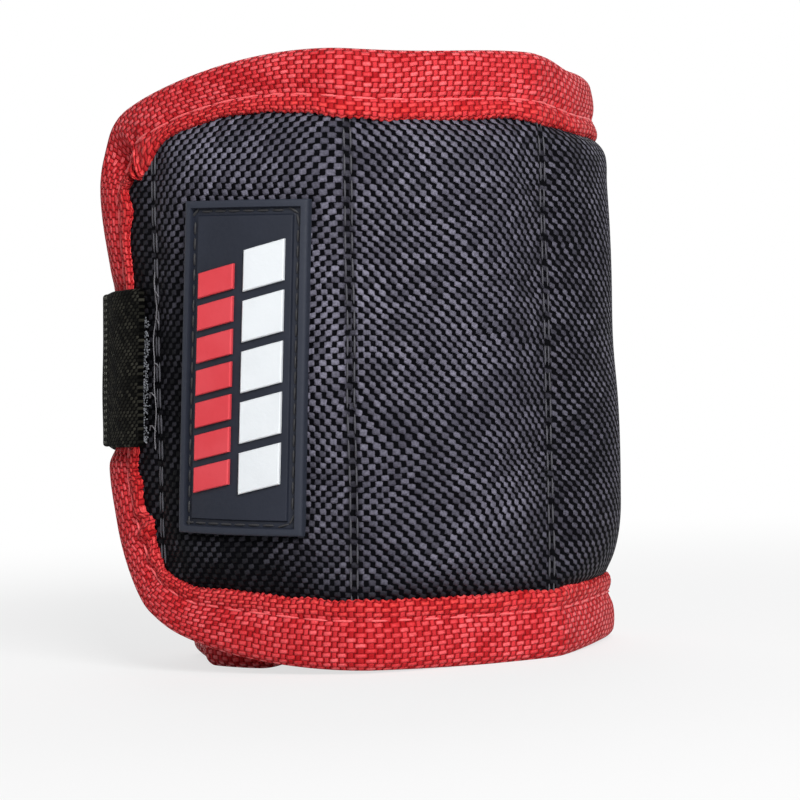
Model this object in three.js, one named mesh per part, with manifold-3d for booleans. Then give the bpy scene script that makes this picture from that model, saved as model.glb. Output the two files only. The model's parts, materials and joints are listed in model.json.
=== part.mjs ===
// Magnetic wristband: a padded cloth band bent into a ring and closed with a hook-and-loop strap.
// Lengths are in millimetres and angles in degrees, +Z is up along the forearm, and the front faces -Y.
// The band is a chain of sections, met in order from its outer end to the inner end tucked under it.
// In a section, along runs from its first seam, out points away from the wrist, and up runs from mid height.

import * as THREE from 'three';
import { mergeVertices } from 'three/addons/utils/BufferGeometryUtils.js';
import Module from 'manifold-3d';

const wasm = await Module();
wasm.setup();

const { degToRad, lerp } = THREE.MathUtils;

// Band
const bandHeight = 101;
const padPitch = 35;
const padCount = 6;
const outerEndLength = 16.5;
const firstTongueLength = 27;
const secondTongueLength = 28;
const seamGap = 1.5;
const clothSeamReach = 0.35;
const fitGap = 0.3;

// Turning of each section between its seams, and of the fold after it
const padCurveAngle = 20;
const outerEndCurveAngle = 6;
const firstTongueCurveAngle = 18;
const secondTongueCurveAngle = 22;
const outerEndFoldAngle = 8;
const padFoldAngles = [28, 28, 36, 30, 32, 36];
const tongueFoldAngle = 30;
const outerEndHeading = -48;

// Shape of the outer end: its edges draw together towards a round corner, and its lower edge sits higher
const taperReach = 50;
const taperDrop = 5.7;
const outerCornerRadius = 15;
const innerCornerRadius = 15;
const liftReach = 86.5;
const liftHeight = 3;

// Cloth layers
const clothThickness = 0.5;
const layerGap = 0.3;
const coverCrown = 3.2;
const liningCrown = 2.3;
const crownShoulder = 13;

// Edge tape, folded over the rims of the cloth
const tapeDepth = 11.5;
const tapeThickness = 0.8;
const tapeCornerBevel = 0.7;

// Magnets and the foam round them
const magnetDiameter = 16;
const magnetThickness = 2;
const magnetSpacing = 40;
const magnetSeatOut = -0.1;
const foamInset = 3.5;
const foamTapeInset = 1.5;
const foamGap = 0.8;

// Closing strap, hook tape and loop tape
const strapWidth = 27;
const strapThickness = 1.2;
const strapMidUp = -1.5;
const strapRootLength = 14.5;
const strapEndGap = 0.9;
const strapTipLength = 24;
const strapTipReach = 1.4;
const strapSideInset = 2;
const hookThickness = 0.7;
const hookWidth = 25;
const loopThickness = 0.8;
const loopWidth = 32;
const loopEndInset = 2.5;

// Rubber patch
const patchWidth = 24;
const patchThickness = 1.6;
const patchBorder = 1.4;
const patchBorderRise = 0.5;
const patchBorderSlope = 0.3;
const patchFromSeam = 5.2;
const patchTopMargin = 13.8;
const patchBottomMargin = 7.2;

// Facets
const padSteps = 8;
const padRows = 10;
const foamSteps = 6;
const foamRows = 8;
const tapeSteps = 4;
const cornerSteps = 8;
const straightSteps = 2;
const sheetSteps = 4;
const discSides = 16;

// Cloth surfaces measured out from the middle of the band
const innerFace = layerGap / 2;
const rimFace = innerFace + clothThickness;
const tapeInnerFace = rimFace + fitGap;
const tapeOuterFace = tapeInnerFace + tapeThickness;
const rimInset = tapeThickness + fitGap;
const halfHeight = bandHeight / 2;

const materials = {
  cover: new THREE.MeshStandardMaterial({ color: 0x2a2a30, roughness: 0.8, metalness: 0 }),
  lining: new THREE.MeshStandardMaterial({ color: 0x1c1c1f, roughness: 0.95, metalness: 0 }),
  foam: new THREE.MeshStandardMaterial({ color: 0xd8d4c4, roughness: 1, metalness: 0 }),
  magnet: new THREE.MeshStandardMaterial({ color: 0xb8babd, roughness: 0.3, metalness: 1 }),
  tape: new THREE.MeshStandardMaterial({ color: 0xd0262b, roughness: 0.75, metalness: 0 }),
  strap: new THREE.MeshStandardMaterial({ color: 0x23241e, roughness: 0.85, metalness: 0 }),
  hook: new THREE.MeshStandardMaterial({ color: 0x141414, roughness: 0.7, metalness: 0 }),
  loop: new THREE.MeshStandardMaterial({ color: 0x18181a, roughness: 1, metalness: 0 }),
  patch: new THREE.MeshStandardMaterial({ color: 0x26282d, roughness: 0.6, metalness: 0 }),
};

const wristband = new THREE.Group();

// Sections of the band

function makeSection(name, pitch, openSeams, curve, fold) {
  const length = pitch - (seamGap * openSeams) / 2;
  return { name, length, curve: degToRad(curve), fold: degToRad(fold) };
}

const sections = [
  makeSection('outer_end', outerEndLength, 1, outerEndCurveAngle, outerEndFoldAngle),
  ...padFoldAngles.map((fold, index) => makeSection(`panel_${index + 1}`, padPitch, 2, padCurveAngle, fold)),
  makeSection('tongue_1', firstTongueLength, 2, firstTongueCurveAngle, tongueFoldAngle),
  makeSection('tongue_2', secondTongueLength, 1, secondTongueCurveAngle, 0),
];

// One step along an arc of the given length and turning, in plan.
function advance(spot, length, turn) {
  const heading = spot.heading + turn;
  if (turn === 0) {
    const x = spot.x + length * Math.cos(heading);
    return { x, y: spot.y + length * Math.sin(heading), heading };
  }
  const radius = length / turn;
  const x = spot.x + radius * (Math.sin(heading) - Math.sin(spot.heading));
  const y = spot.y - radius * (Math.cos(heading) - Math.cos(spot.heading));
  return { x, y, heading };
}

// Lays the sections end to end, and keeps where each one starts and where the fold after it turns.
function layOut() {
  let spot = { x: 0, y: 0, heading: degToRad(outerEndHeading) };
  let distance = 0;
  for (const section of sections) {
    section.start = spot;
    section.distance = distance;
    const end = advance(spot, section.length, section.curve);
    section.hinge = advance(end, seamGap / 2, section.fold / 2);
    spot = advance(end, seamGap, section.fold);
    distance += section.length + seamGap;
  }
}

layOut();

const outerEnd = sections[0];
const panels = sections.slice(1, 1 + padCount);
const tongues = sections.slice(1 + padCount);

function sectionGroup(section) {
  const holder = new THREE.Group();
  holder.position.set(section.start.x, section.start.y, 0);
  holder.rotation.z = section.start.heading;
  wristband.add(holder);
  return holder;
}

// How far the lower and upper edges both stand above where a level band would have them.
function lift(distance) {
  const share = Math.max(0, 1 - distance / liftReach);
  return liftHeight * share * share;
}

// How far each edge is drawn in towards mid height near the outer end.
function edgeDrop(distance) {
  const reach = taperReach - outerEndLength;
  const toEnd = Math.max(0, taperReach - distance);
  if (distance >= outerEndLength) {
    return taperDrop * (toEnd / reach) ** 2;
  }
  return taperDrop * (1 + (2 * (outerEndLength - distance)) / reach);
}

// A point of a section in the section's own frame, standing on the ground plane.
function place(section, along, out, up) {
  const spot = advance({ x: 0, y: 0, heading: 0 }, along, (section.curve * along) / section.length);
  return new THREE.Vector3(
    spot.x + out * Math.sin(spot.heading),
    spot.y - out * Math.cos(spot.heading),
    halfHeight + up + lift(section.distance + along),
  );
}

// Solids

function addMesh(holder, name, geometry, material) {
  geometry.computeVertexNormals();
  const mesh = new THREE.Mesh(geometry, material);
  mesh.name = name;
  holder.add(mesh);
}

function signedVolume(points, faces) {
  let volume = 0;
  for (const [a, b, c] of faces) {
    volume += points[a].dot(new THREE.Vector3().crossVectors(points[b], points[c]));
  }
  return volume;
}

// A closed solid through rings of points. Each ring is a closed outline with a flat copy for its cap.
function loft(rings) {
  const size = rings[0].points.length;
  const points = rings.flatMap((ring) => ring.points);
  const faces = [];
  for (let ring = 0; ring + 1 < rings.length; ring += 1) {
    for (let corner = 0; corner < size; corner += 1) {
      const next = (corner + 1) % size;
      const a = ring * size + corner;
      const b = ring * size + next;
      faces.push([a, b, b + size], [a, b + size, a + size]);
    }
  }
  const outline = rings[0].outline.map(([x, y]) => new THREE.Vector2(x, y));
  const forward = THREE.ShapeUtils.area(outline) > 0;
  const lastStart = points.length - size;
  const lastOutline = rings.at(-1).outline.map(([x, y]) => new THREE.Vector2(x, y));
  for (const [a, b, c] of THREE.ShapeUtils.triangulateShape(outline, [])) {
    faces.push(forward ? [a, c, b] : [a, b, c]);
  }
  for (const corners of THREE.ShapeUtils.triangulateShape(lastOutline, [])) {
    const [a, b, c] = corners.map((corner) => lastStart + corner);
    faces.push(forward ? [a, b, c] : [a, c, b]);
  }
  if (signedVolume(points, faces) < 0) {
    faces.forEach((face) => face.reverse());
  }
  const geometry = new THREE.BufferGeometry().setFromPoints(points);
  geometry.setIndex(faces.flat());
  return geometry;
}

function spread(from, to, steps) {
  return Array.from({ length: steps + 1 }, (unused, step) => lerp(from, to, step / steps));
}

// A sheet between an outer and an inner surface. Its rows and both surfaces are functions of the place.
function sheet(section, alongs, rowsAt, outer, inner) {
  const rings = alongs.map((along) => {
    const ups = rowsAt(along);
    const outline = [
      ...ups.map((up) => [up, outer(along, up)]),
      ...ups.toReversed().map((up) => [up, inner(along, up)]),
    ];
    return { outline, points: outline.map(([up, out]) => place(section, along, out, up)) };
  });
  return loft(rings);
}

// A profile of depth from the edge and way out, swept through stations that each give the way in.
function sweep(section, stations, profile) {
  const rings = stations.map((station) => ({
    outline: profile,
    points: profile.map(([depth, out]) =>
      place(section, station.along + depth * station.inAlong, out, station.up + depth * station.inUp),
    ),
  }));
  return loft(rings);
}

function asManifold(geometry) {
  const bare = geometry.clone();
  bare.deleteAttribute('normal');
  bare.deleteAttribute('uv');
  const merged = mergeVertices(bare);
  const vertProperties = new Float32Array(merged.attributes.position.array);
  const triVerts = new Uint32Array(merged.index.array);
  return new wasm.Manifold(new wasm.Mesh({ numProp: 3, vertProperties, triVerts }));
}

function asGeometry(solid) {
  const mesh = solid.getMesh();
  const geometry = new THREE.BufferGeometry();
  geometry.setAttribute('position', new THREE.BufferAttribute(mesh.vertProperties, mesh.numProp));
  geometry.setIndex(new THREE.BufferAttribute(mesh.triVerts, 1));
  return geometry;
}

// A flat disc whose axis points out at the given place of a section.
function disc(section, along, up, radius, outFrom, outTo) {
  const centre = place(section, along, 0, up);
  const outward = place(section, along, 1, up).sub(centre);
  const sideways = new THREE.Vector3(-outward.y, outward.x, 0);
  const rings = [outFrom, outTo].map((out) => {
    const outline = spread(0, 2 * Math.PI, discSides)
      .slice(1)
      .map((angle) => [radius * Math.cos(angle), radius * Math.sin(angle)]);
    const points = outline.map(([aside, above]) =>
      new THREE.Vector3(0, 0, above)
        .add(centre)
        .addScaledVector(outward, out)
        .addScaledVector(sideways, aside),
    );
    return { outline, points };
  });
  return loft(rings);
}

// Fullness of the padding, from 0 at the seams and the edge tape to 1 in the middle of the pad.
function fullness(section, along, up) {
  const share = THREE.MathUtils.clamp(along / section.length, 0, 1);
  const across = Math.sqrt(4 * share * (1 - share));
  const edge = halfHeight - edgeDrop(section.distance + along) - tapeDepth;
  const rise = THREE.MathUtils.clamp((edge - Math.abs(up)) / crownShoulder, 0, 1);
  return across * Math.sqrt(rise * (2 - rise));
}

function coverOuter(section) {
  return (along, up) => rimFace + coverCrown * fullness(section, along, up);
}

function coverInner(section) {
  return (along, up) => innerFace + coverCrown * fullness(section, along, up);
}

function liningInner(section) {
  return (along, up) => -innerFace - liningCrown * fullness(section, along, up);
}

function liningOuter(section) {
  return (along, up) => -rimFace - liningCrown * fullness(section, along, up);
}

// The rims of the cloth inside the edge tape.
function rims(section) {
  return (along) => {
    const high = halfHeight - edgeDrop(section.distance + along) - rimInset;
    return [-high, high];
  };
}

// Rows across the padding between the two edge tapes. They crowd towards the tape, where it curves most.
function padRowsAt(section, inset, rows) {
  return (along) => {
    const high = halfHeight - edgeDrop(section.distance + along) - tapeDepth - inset;
    return spread(0, Math.PI, rows).map((angle) => {
      const crowded = -Math.cos(angle);
      const even = (2 * angle) / Math.PI - 1;
      return (high * (crowded + even)) / 2;
    });
  };
}

// The same rows with a rim beyond each edge of the padding.
function clothRowsAt(section) {
  const rim = rims(section);
  const pad = padRowsAt(section, 0, padRows);
  return (along) => {
    const [low, high] = rim(along);
    return [low, ...pad(along), high];
  };
}

const tapeFoldFace = tapeOuterFace - tapeCornerBevel;
const tapeProfile = [
  [tapeDepth, tapeInnerFace],
  [tapeDepth, tapeOuterFace],
  [tapeCornerBevel, tapeOuterFace],
  [0, tapeFoldFace],
  [0, -tapeFoldFace],
  [tapeCornerBevel, -tapeOuterFace],
  [tapeDepth, -tapeOuterFace],
  [tapeDepth, -tapeInnerFace],
  [tapeThickness, -tapeInnerFace],
  [tapeThickness, tapeInnerFace],
];

// Stations along one straight edge of a section: side is 1 for the top and -1 for the bottom.
function edgeStations(section, side) {
  return spread(0, section.length, tapeSteps).map((along) => ({
    along,
    up: side * (halfHeight - edgeDrop(section.distance + along)),
    inAlong: 0,
    inUp: -side,
  }));
}

function foamGeometry(section) {
  const outer = (along, up) => coverInner(section)(along, up) - foamGap;
  const inner = (along, up) => liningInner(section)(along, up) + foamGap;
  const alongs = spread(foamInset, section.length - foamInset, foamSteps);
  const rowsAt = padRowsAt(section, foamTapeInset, foamRows);
  const block = asManifold(sheet(section, alongs, rowsAt, outer, inner));
  const pockets = [1, -1].map((side) => {
    const radius = magnetDiameter / 2 + fitGap;
    const up = (side * magnetSpacing) / 2;
    const mouth = coverCrown + magnetThickness;
    return asManifold(disc(section, section.length / 2, up, radius, magnetSeatOut - fitGap, mouth));
  });
  return asGeometry(pockets.reduce((solid, pocket) => solid.subtract(pocket), block));
}

function addPanel(section, index) {
  const holder = sectionGroup(section);
  const pad = spread(0, section.length, padSteps);
  const alongs = [-clothSeamReach, ...pad, section.length + clothSeamReach];
  const rowsAt = clothRowsAt(section);
  const cover = sheet(section, alongs, rowsAt, coverOuter(section), coverInner(section));
  const lining = sheet(section, alongs, rowsAt, liningInner(section), liningOuter(section));
  addMesh(holder, `cover_${index}`, cover, materials.cover);
  addMesh(holder, `lining_${index}`, lining, materials.lining);
  addMesh(holder, `foam_${index}`, foamGeometry(section), materials.foam);
  for (const [side, word] of [[1, 'upper'], [-1, 'lower']]) {
    const up = (side * magnetSpacing) / 2;
    const magnet = disc(
      section, section.length / 2, up, magnetDiameter / 2, magnetSeatOut, magnetSeatOut + magnetThickness,
    );
    addMesh(holder, `magnet_${index}_${word}`, magnet, materials.magnet);
  }
  for (const [side, word] of [[1, 'top'], [-1, 'bottom']]) {
    const tape = sweep(section, edgeStations(section, side), tapeProfile);
    addMesh(holder, `edge_tape_${word}_${index}`, tape, materials.tape);
  }
}

panels.forEach((section, index) => addPanel(section, index + 1));

// Ends of the band

// Stations of the tape round an end: along the top edge, round two corners, and back along the bottom.
// The end lies at along 0, or at the section's length when it is the band's far end.
function endStations(section, radius, far) {
  const seam = far ? 0 : section.length;
  const end = far ? section.length : 0;
  const toSeam = Math.sign(seam - end);
  const slope = far ? 0 : Math.atan((2 * taperDrop) / (taperReach - outerEndLength));
  const edgeUp = (along) => halfHeight - (far ? 0 : edgeDrop(section.distance + along));
  const arcStart = end + toSeam * radius * (1 - Math.sin(slope));
  const centreUp = edgeUp(arcStart) - radius * Math.cos(slope);
  const straight = spread(seam, arcStart, straightSteps).slice(0, -1).map((along, step) => {
    const turn = (slope * step) / straightSteps;
    return { along, up: edgeUp(along), inAlong: toSeam * Math.sin(turn), inUp: -Math.cos(turn) };
  });
  const corner = spread(slope, Math.PI / 2, cornerSteps).map((angle) => ({
    along: end + toSeam * radius * (1 - Math.sin(angle)),
    up: centreUp + radius * Math.cos(angle),
    inAlong: toSeam * Math.sin(angle),
    inUp: -Math.cos(angle),
  }));
  const upper = [...straight, ...corner];
  const lower = upper.toReversed().map((station) => ({ ...station, up: -station.up, inUp: -station.inUp }));
  return [...upper, ...lower];
}

// The upper rim of an end's cloth, just inside the fold of its tape.
function endRims(section, radius, far) {
  const stations = endStations(section, radius, far);
  return stations.slice(0, stations.length / 2).map((station) => ({
    along: station.along + rimInset * station.inAlong,
    up: station.up + rimInset * station.inUp,
  }));
}

// A flat cloth layer of an end, from its seam to inside the tape.
function endSheet(section, radius, far, outFrom, outTo) {
  const rings = endRims(section, radius, far).map((rim) => {
    const outline = [[rim.up, outFrom], [rim.up, outTo], [-rim.up, outTo], [-rim.up, outFrom]];
    return { outline, points: outline.map(([up, out]) => place(section, rim.along, out, up)) };
  });
  return loft(rings);
}

function addOuterEnd() {
  const holder = sectionGroup(outerEnd);
  const cover = endSheet(outerEnd, outerCornerRadius, false, innerFace, rimFace);
  const lining = endSheet(outerEnd, outerCornerRadius, false, -rimFace, -innerFace);
  const tape = sweep(outerEnd, endStations(outerEnd, outerCornerRadius, false), tapeProfile);
  addMesh(holder, 'cover_outer_end', cover, materials.cover);
  addMesh(holder, 'lining_outer_end', lining, materials.lining);
  addMesh(holder, 'edge_tape_outer_end', tape, materials.tape);
}

function addTongues() {
  const [first, second] = tongues;
  const firstHolder = sectionGroup(first);
  const alongs = spread(0, first.length, sheetSteps);
  const cover = sheet(first, alongs, rims(first), () => rimFace, () => -rimFace);
  addMesh(firstHolder, 'cover_tongue_1', cover, materials.cover);
  for (const [side, word] of [[1, 'top'], [-1, 'bottom']]) {
    const tape = sweep(first, edgeStations(first, side), tapeProfile);
    addMesh(firstHolder, `edge_tape_${word}_${padCount + 1}`, tape, materials.tape);
  }
  const secondHolder = sectionGroup(second);
  const endCover = endSheet(second, innerCornerRadius, true, -rimFace, rimFace);
  const endTape = sweep(second, endStations(second, innerCornerRadius, true), tapeProfile);
  addMesh(secondHolder, 'cover_tongue_2', endCover, materials.cover);
  addMesh(secondHolder, 'edge_tape_inner_end', endTape, materials.tape);
}

addOuterEnd();
addTongues();

// Loop tape on the back of the band

const [, , , , backPanel, sidePanel] = panels;

function band(width) {
  return () => [strapMidUp - width / 2, strapMidUp + width / 2];
}

function addLoop(section, name) {
  const face = coverOuter(section);
  const outer = (along, up) => face(along, up) + fitGap + loopThickness;
  const inner = (along, up) => face(along, up) + fitGap;
  const alongs = spread(loopEndInset, section.length - loopEndInset, padSteps);
  addMesh(sectionGroup(section), name, sheet(section, alongs, band(loopWidth), outer, inner), materials.loop);
}

addLoop(backPanel, 'loop_tape_5');
addLoop(sidePanel, 'loop_tape_6');

// Closing strap: sewn to the outer end, bent over its edge, then laid over the loop tape

const hookInnerFace = rimFace + coverCrown + 2 * fitGap + loopThickness;
const strapInnerFace = hookInnerFace + hookThickness + fitGap;
const strapMidFace = strapInnerFace + strapThickness / 2;
const rootInnerFace = tapeOuterFace + fitGap;
const rootMidFace = rootInnerFace + strapThickness / 2;

const rootLayer = { face: rootInnerFace, thickness: strapThickness, width: strapWidth };
const strapLayer = { face: strapInnerFace, thickness: strapThickness, width: strapWidth };
const hookLayer = { face: hookInnerFace, thickness: hookThickness, width: hookWidth };

function strapSheet(section, from, to, layer) {
  const alongs = spread(from, to, sheetSteps);
  return sheet(section, alongs, band(layer.width), () => layer.face + layer.thickness, () => layer.face);
}

// A point of a section in the ring's own frame, in plan.
function planPoint(section, along, out) {
  const local = place(section, along, out, 0);
  const holder = new THREE.Vector3(section.start.x, section.start.y, 0);
  return local.applyAxisAngle(new THREE.Vector3(0, 0, 1), section.start.heading).add(holder).setZ(0);
}

const strapRootHinge = planPoint(outerEnd, -strapEndGap, rootMidFace);
const strapSideHinge = planPoint(sidePanel, sidePanel.length, strapMidFace);
const strapTipSide = planPoint(sidePanel, -strapTipReach, strapMidFace);
const strapTipBack = planPoint(backPanel, backPanel.length + strapTipReach, strapMidFace);
const strapTipHinge = strapTipSide.clone().add(strapTipBack).divideScalar(2);

function addBridge() {
  const holder = new THREE.Group();
  const run = strapSideHinge.clone().sub(strapRootHinge);
  const reach = run.length();
  holder.position.copy(strapRootHinge);
  holder.rotation.z = Math.atan2(run.y, run.x);
  wristband.add(holder);
  const length = reach - strapEndGap;
  const slab = new THREE.BoxGeometry(length, strapThickness, strapWidth);
  const mid = halfHeight + strapMidUp;
  slab.translate(reach / 2, 0, mid);
  const position = slab.attributes.position;
  for (let index = 0; index < position.count; index += 1) {
    const nearRoot = 1 - position.getX(index) / reach;
    position.setZ(index, position.getZ(index) + lerp(0, lift(0), nearRoot));
  }
  addMesh(holder, 'strap_bridge_webbing', slab, materials.strap);
}

function addStrap() {
  const halfGap = strapEndGap / 2;
  const root = strapSheet(outerEnd, -halfGap, strapRootLength, rootLayer);
  addMesh(sectionGroup(outerEnd), 'strap_root_webbing', root, materials.strap);
  addBridge();
  const sideEnd = sidePanel.length;
  const side = strapSheet(sidePanel, -halfGap, sideEnd - halfGap, strapLayer);
  const sideHook = strapSheet(sidePanel, strapSideInset, sideEnd - strapSideInset, hookLayer);
  const sideHolder = sectionGroup(sidePanel);
  addMesh(sideHolder, 'strap_middle_webbing', side, materials.strap);
  addMesh(sideHolder, 'hook_tape_middle', sideHook, materials.hook);
  const tipStart = backPanel.length;
  const tipEnd = tipStart - strapTipLength;
  const tip = strapSheet(backPanel, tipStart + halfGap, tipEnd, strapLayer);
  const tipHook = strapSheet(backPanel, tipStart - strapSideInset, tipEnd + strapSideInset, hookLayer);
  const backHolder = sectionGroup(backPanel);
  addMesh(backHolder, 'strap_tip_webbing', tip, materials.strap);
  addMesh(backHolder, 'hook_tape_tip', tipHook, materials.hook);
}

addStrap();

// Rubber patch on the first padded compartment, with a raised border

// Places across the patch: close together at the border's step and even between.
function patchPlaces(from, to) {
  const foot = patchBorder + patchBorderSlope;
  const field = spread(from + foot, to - foot, sheetSteps);
  return [from, from + patchBorder, ...field, to - patchBorder, to];
}

function addPatch() {
  const [section] = panels;
  const face = coverOuter(section);
  const alongTo = patchFromSeam + patchWidth;
  const low = tapeDepth + patchBottomMargin - halfHeight;
  const high = halfHeight - tapeDepth - patchTopMargin;
  const outer = (along, up) => {
    const inset = Math.min(along - patchFromSeam, alongTo - along, up - low, high - up);
    const rise = inset > patchBorder + patchBorderSlope / 2 ? 0 : patchBorderRise;
    return face(along, up) + fitGap + patchThickness + rise;
  };
  const inner = (along, up) => face(along, up) + fitGap;
  const ups = patchPlaces(low, high);
  const geometry = sheet(section, patchPlaces(patchFromSeam, alongTo), () => ups, outer, inner);
  addMesh(sectionGroup(section), 'rubber_patch', geometry, materials.patch);
}

addPatch();

// The origin is the middle of the base of the whole part's box

wristband.updateMatrixWorld(true);
const box = new THREE.Box3().setFromObject(wristband, true);
const origin = box.getCenter(new THREE.Vector3()).setZ(box.min.z);
wristband.children.forEach((holder) => holder.position.sub(origin));

// Axes of the folds, each upright, for whoever joins the pieces
wristband.userData.folds = {
  ...Object.fromEntries(sections.slice(0, -1).map((section) => [section.name, section.hinge])),
  strap_root: strapRootHinge,
  strap_side: strapSideHinge,
  strap_tip: strapTipHinge,
};
for (const [name, fold] of Object.entries(wristband.userData.folds)) {
  wristband.userData.folds[name] = [fold.x - origin.x, fold.y - origin.y];
}

export default wristband;
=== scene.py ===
"""Magnetic wristband: the cloth, tape, thread, strap and rubber patch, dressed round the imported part.

The band is laid out along its own middle line. A place on it is a distance along the line from the outer
end, a height up from mid height, and a way out from the line, all in millimetres until a mesh is made.
"""

import json
import math

import bpy
import numpy as np
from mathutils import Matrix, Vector


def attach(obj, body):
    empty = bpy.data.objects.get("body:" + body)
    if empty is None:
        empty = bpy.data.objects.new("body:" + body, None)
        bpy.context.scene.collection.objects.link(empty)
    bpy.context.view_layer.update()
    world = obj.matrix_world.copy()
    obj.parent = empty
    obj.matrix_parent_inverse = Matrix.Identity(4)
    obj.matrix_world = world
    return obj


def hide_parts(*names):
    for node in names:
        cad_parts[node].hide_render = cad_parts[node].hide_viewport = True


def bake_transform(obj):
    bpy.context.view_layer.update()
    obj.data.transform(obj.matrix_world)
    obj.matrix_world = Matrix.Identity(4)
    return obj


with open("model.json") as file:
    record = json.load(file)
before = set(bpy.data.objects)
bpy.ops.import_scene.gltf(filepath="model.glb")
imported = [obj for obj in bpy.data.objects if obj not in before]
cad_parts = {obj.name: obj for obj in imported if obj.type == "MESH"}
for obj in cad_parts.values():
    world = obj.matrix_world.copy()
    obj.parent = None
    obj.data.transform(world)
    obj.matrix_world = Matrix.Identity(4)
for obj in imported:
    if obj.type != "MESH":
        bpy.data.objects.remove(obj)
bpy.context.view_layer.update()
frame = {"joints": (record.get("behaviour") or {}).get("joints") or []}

# ---------------------------------------------------------------- sizes

MM = 0.001
BAND_HEIGHT = 101.0
HALF_HEIGHT = BAND_HEIGHT / 2
SEAM_GAP = 1.5
START_HEADING = -48.0
# body, length, turn along it, turn of the fold after it
SECTIONS = (
    ("outer_end", 15.75, 6, 8),
    ("panel_1", 33.5, 20, 28),
    ("panel_2", 33.5, 20, 28),
    ("panel_3", 33.5, 20, 36),
    ("panel_4", 33.5, 20, 30),
    ("panel_5", 33.5, 20, 32),
    ("panel_6", 33.5, 20, 36),
    ("tongue_1", 25.5, 18, 30),
    ("tongue_2", 27.25, 22, 0),
)
PANELS = range(1, 7)
LIFT_REACH = 86.5
LIFT_HEIGHT = 3.0
TAPER_REACH = 50.0
TAPER_DROP = 5.7
TAPER_START = 16.5
CORNER_RADIUS = 15.0

CLOTH = 0.5
LAYER_GAP = 0.15
COVER_CROWN = 3.2
SIDE_FULLER = 0.9
LINING_CROWN = 2.3
CROWN_SHOULDER = 13.0
SIDE_SHOULDER = 6.5

TAPE_DEPTH = 11.5
TAPE_THICKNESS = 0.8
TAPE_GROOVE = 8.1
TAPE_STITCH_PITCH = 4.4

STRAP_WIDTH = 26.2
STRAP_THICKNESS = 1.2
STRAP_MID = -2.1
STRAP_LEAN = 0.05
STRAP_ROOT_LENGTH = 15.4
STRAP_TIP_LENGTH = 24.0

PATCH_WIDTH = 21.3
PATCH_HEIGHT = 54.3
PATCH_FROM_SEAM = 6.1
PATCH_MID = -1.15
PATCH_SLOPE = -0.013
PATCH_LEAN = 0.048
PATCH_SPREAD = 0.0009
PATCH_SHIFT = 0.75
PATCH_RIM = 1.15
PATCH_RIM_RISE = 0.35
PATCH_GROOVE_WIDTH = 1.15
PATCH_GROOVE_DEPTH = 0.55

GRAIN = np.random.default_rng(20)

# ---------------------------------------------------------------- the band's middle line


def smoothstep(x):
    x = np.clip(x, 0.0, 1.0)
    return x * x * (3 - 2 * x)


def window(s, start, rise, end, fall):
    """One between two places along the band, with soft ends, and nought elsewhere."""
    return smoothstep((s - start) / rise) * (1 - smoothstep((s - end) / fall))


def bell(x, width):
    """One where x is nought, falling away on both sides."""
    return np.exp(-((x / width) ** 2))


CURL_AT_STRAP = 4.6
CURL_AT_CORNERS = 2.2
CURL_REACH = 14.0
CURL_STEEPNESS = 1.7
CURL_SPREAD_ABOVE = 18.0
CURL_SPREAD_BELOW = 5.0
CURL_START_BELOW = -2.0
TUCK = 6.5
TUCK_START_BELOW = 4
TUCK_SPREAD_BELOW = 38
INNER_END_DROP = 3.6
INNER_END_DROP_START = 205
INNER_END_DROP_REACH = 25
DENT = 2.5
DENT_PLACE = (7.8, 34.0)
DENT_REACH = 3.0
DENT_STRETCH = 0.8
FLARE = 1.2
FLARE_HEIGHT = 39.0
FLARE_SPREAD_ABOVE = 7.0
FLARE_SPREAD_BELOW = 4.6
TOP_SAG = 0.9
# where a form starts along the band, how far it takes to rise, where it ends, how far it takes to fall
TUCK_SPAN = (196, 26, 240, 30)
FLARE_SPAN = (88, 14, 126, 26)
SAG_SPAN = (90, 12, 126, 26)
SKEW = 0.025
SKEW_KEPT_TO = 95.0
SKEW_GONE_BY = 150.0
LINE_STEP = 0.05
LINE_SPARE = 12.0
FOLD_SOFTNESS = 3.0


def section_starts():
    starts = []
    distance = 0.0
    for _, length, _, _ in SECTIONS:
        starts.append(distance)
        distance += length + SEAM_GAP
    return starts


STARTS = section_starts()
LENGTHS = [section[1] for section in SECTIONS]
BODIES = [section[0] for section in SECTIONS]
BAND_LENGTH = STARTS[-1] + LENGTHS[-1]


def section_end(index):
    return STARTS[index] + LENGTHS[index]


def seam_place(index):
    """Distance of the middle of the seam after a section."""
    return section_end(index) + SEAM_GAP / 2


def section_middle(index):
    return STARTS[index] + LENGTHS[index] / 2


def middle_line():
    """Plan points and headings all along the band, with each fold spread softly round its seam."""
    s = np.arange(-LINE_SPARE, BAND_LENGTH + LINE_SPARE, LINE_STEP)
    bend = np.zeros_like(s)
    for (_, length, curve, fold), start in zip(SECTIONS, STARTS):
        end = start + length
        bend[(s >= start) & (s < end)] = math.radians(curve) / length
        bend[(s >= end) & (s < end + SEAM_GAP)] = math.radians(fold) / SEAM_GAP
    half = int(FOLD_SOFTNESS / LINE_STEP)
    easing = np.hanning(2 * half + 1)
    soft = np.convolve(bend, easing / easing.sum(), mode="same")
    lines = []
    for turning in (bend, soft):
        heading = math.radians(START_HEADING) + np.cumsum(turning) * LINE_STEP
        x = np.cumsum(np.cos(heading)) * LINE_STEP
        y = np.cumsum(np.sin(heading)) * LINE_STEP
        lines.append((x, y, heading))
    hard, line = lines
    anchor = np.argmin(abs(s - section_middle(3)))
    fold = np.argmin(abs(s - seam_place(3)))
    turn = hard[2][anchor] - line[2][anchor]
    cos, sin = math.cos(turn), math.sin(turn)
    dx, dy = line[0] - line[0][anchor], line[1] - line[1][anchor]
    x = hard[0][anchor] + cos * dx - sin * dy
    y = hard[1][anchor] + sin * dx + cos * dy
    pivot = next(j for j in frame["joints"] if j["name"] == "band_opening")["pos_m"]
    x += pivot[0] / MM - hard[0][fold]
    y += pivot[1] / MM - hard[1][fold]
    return s, x, y, line[2] + turn


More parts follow.
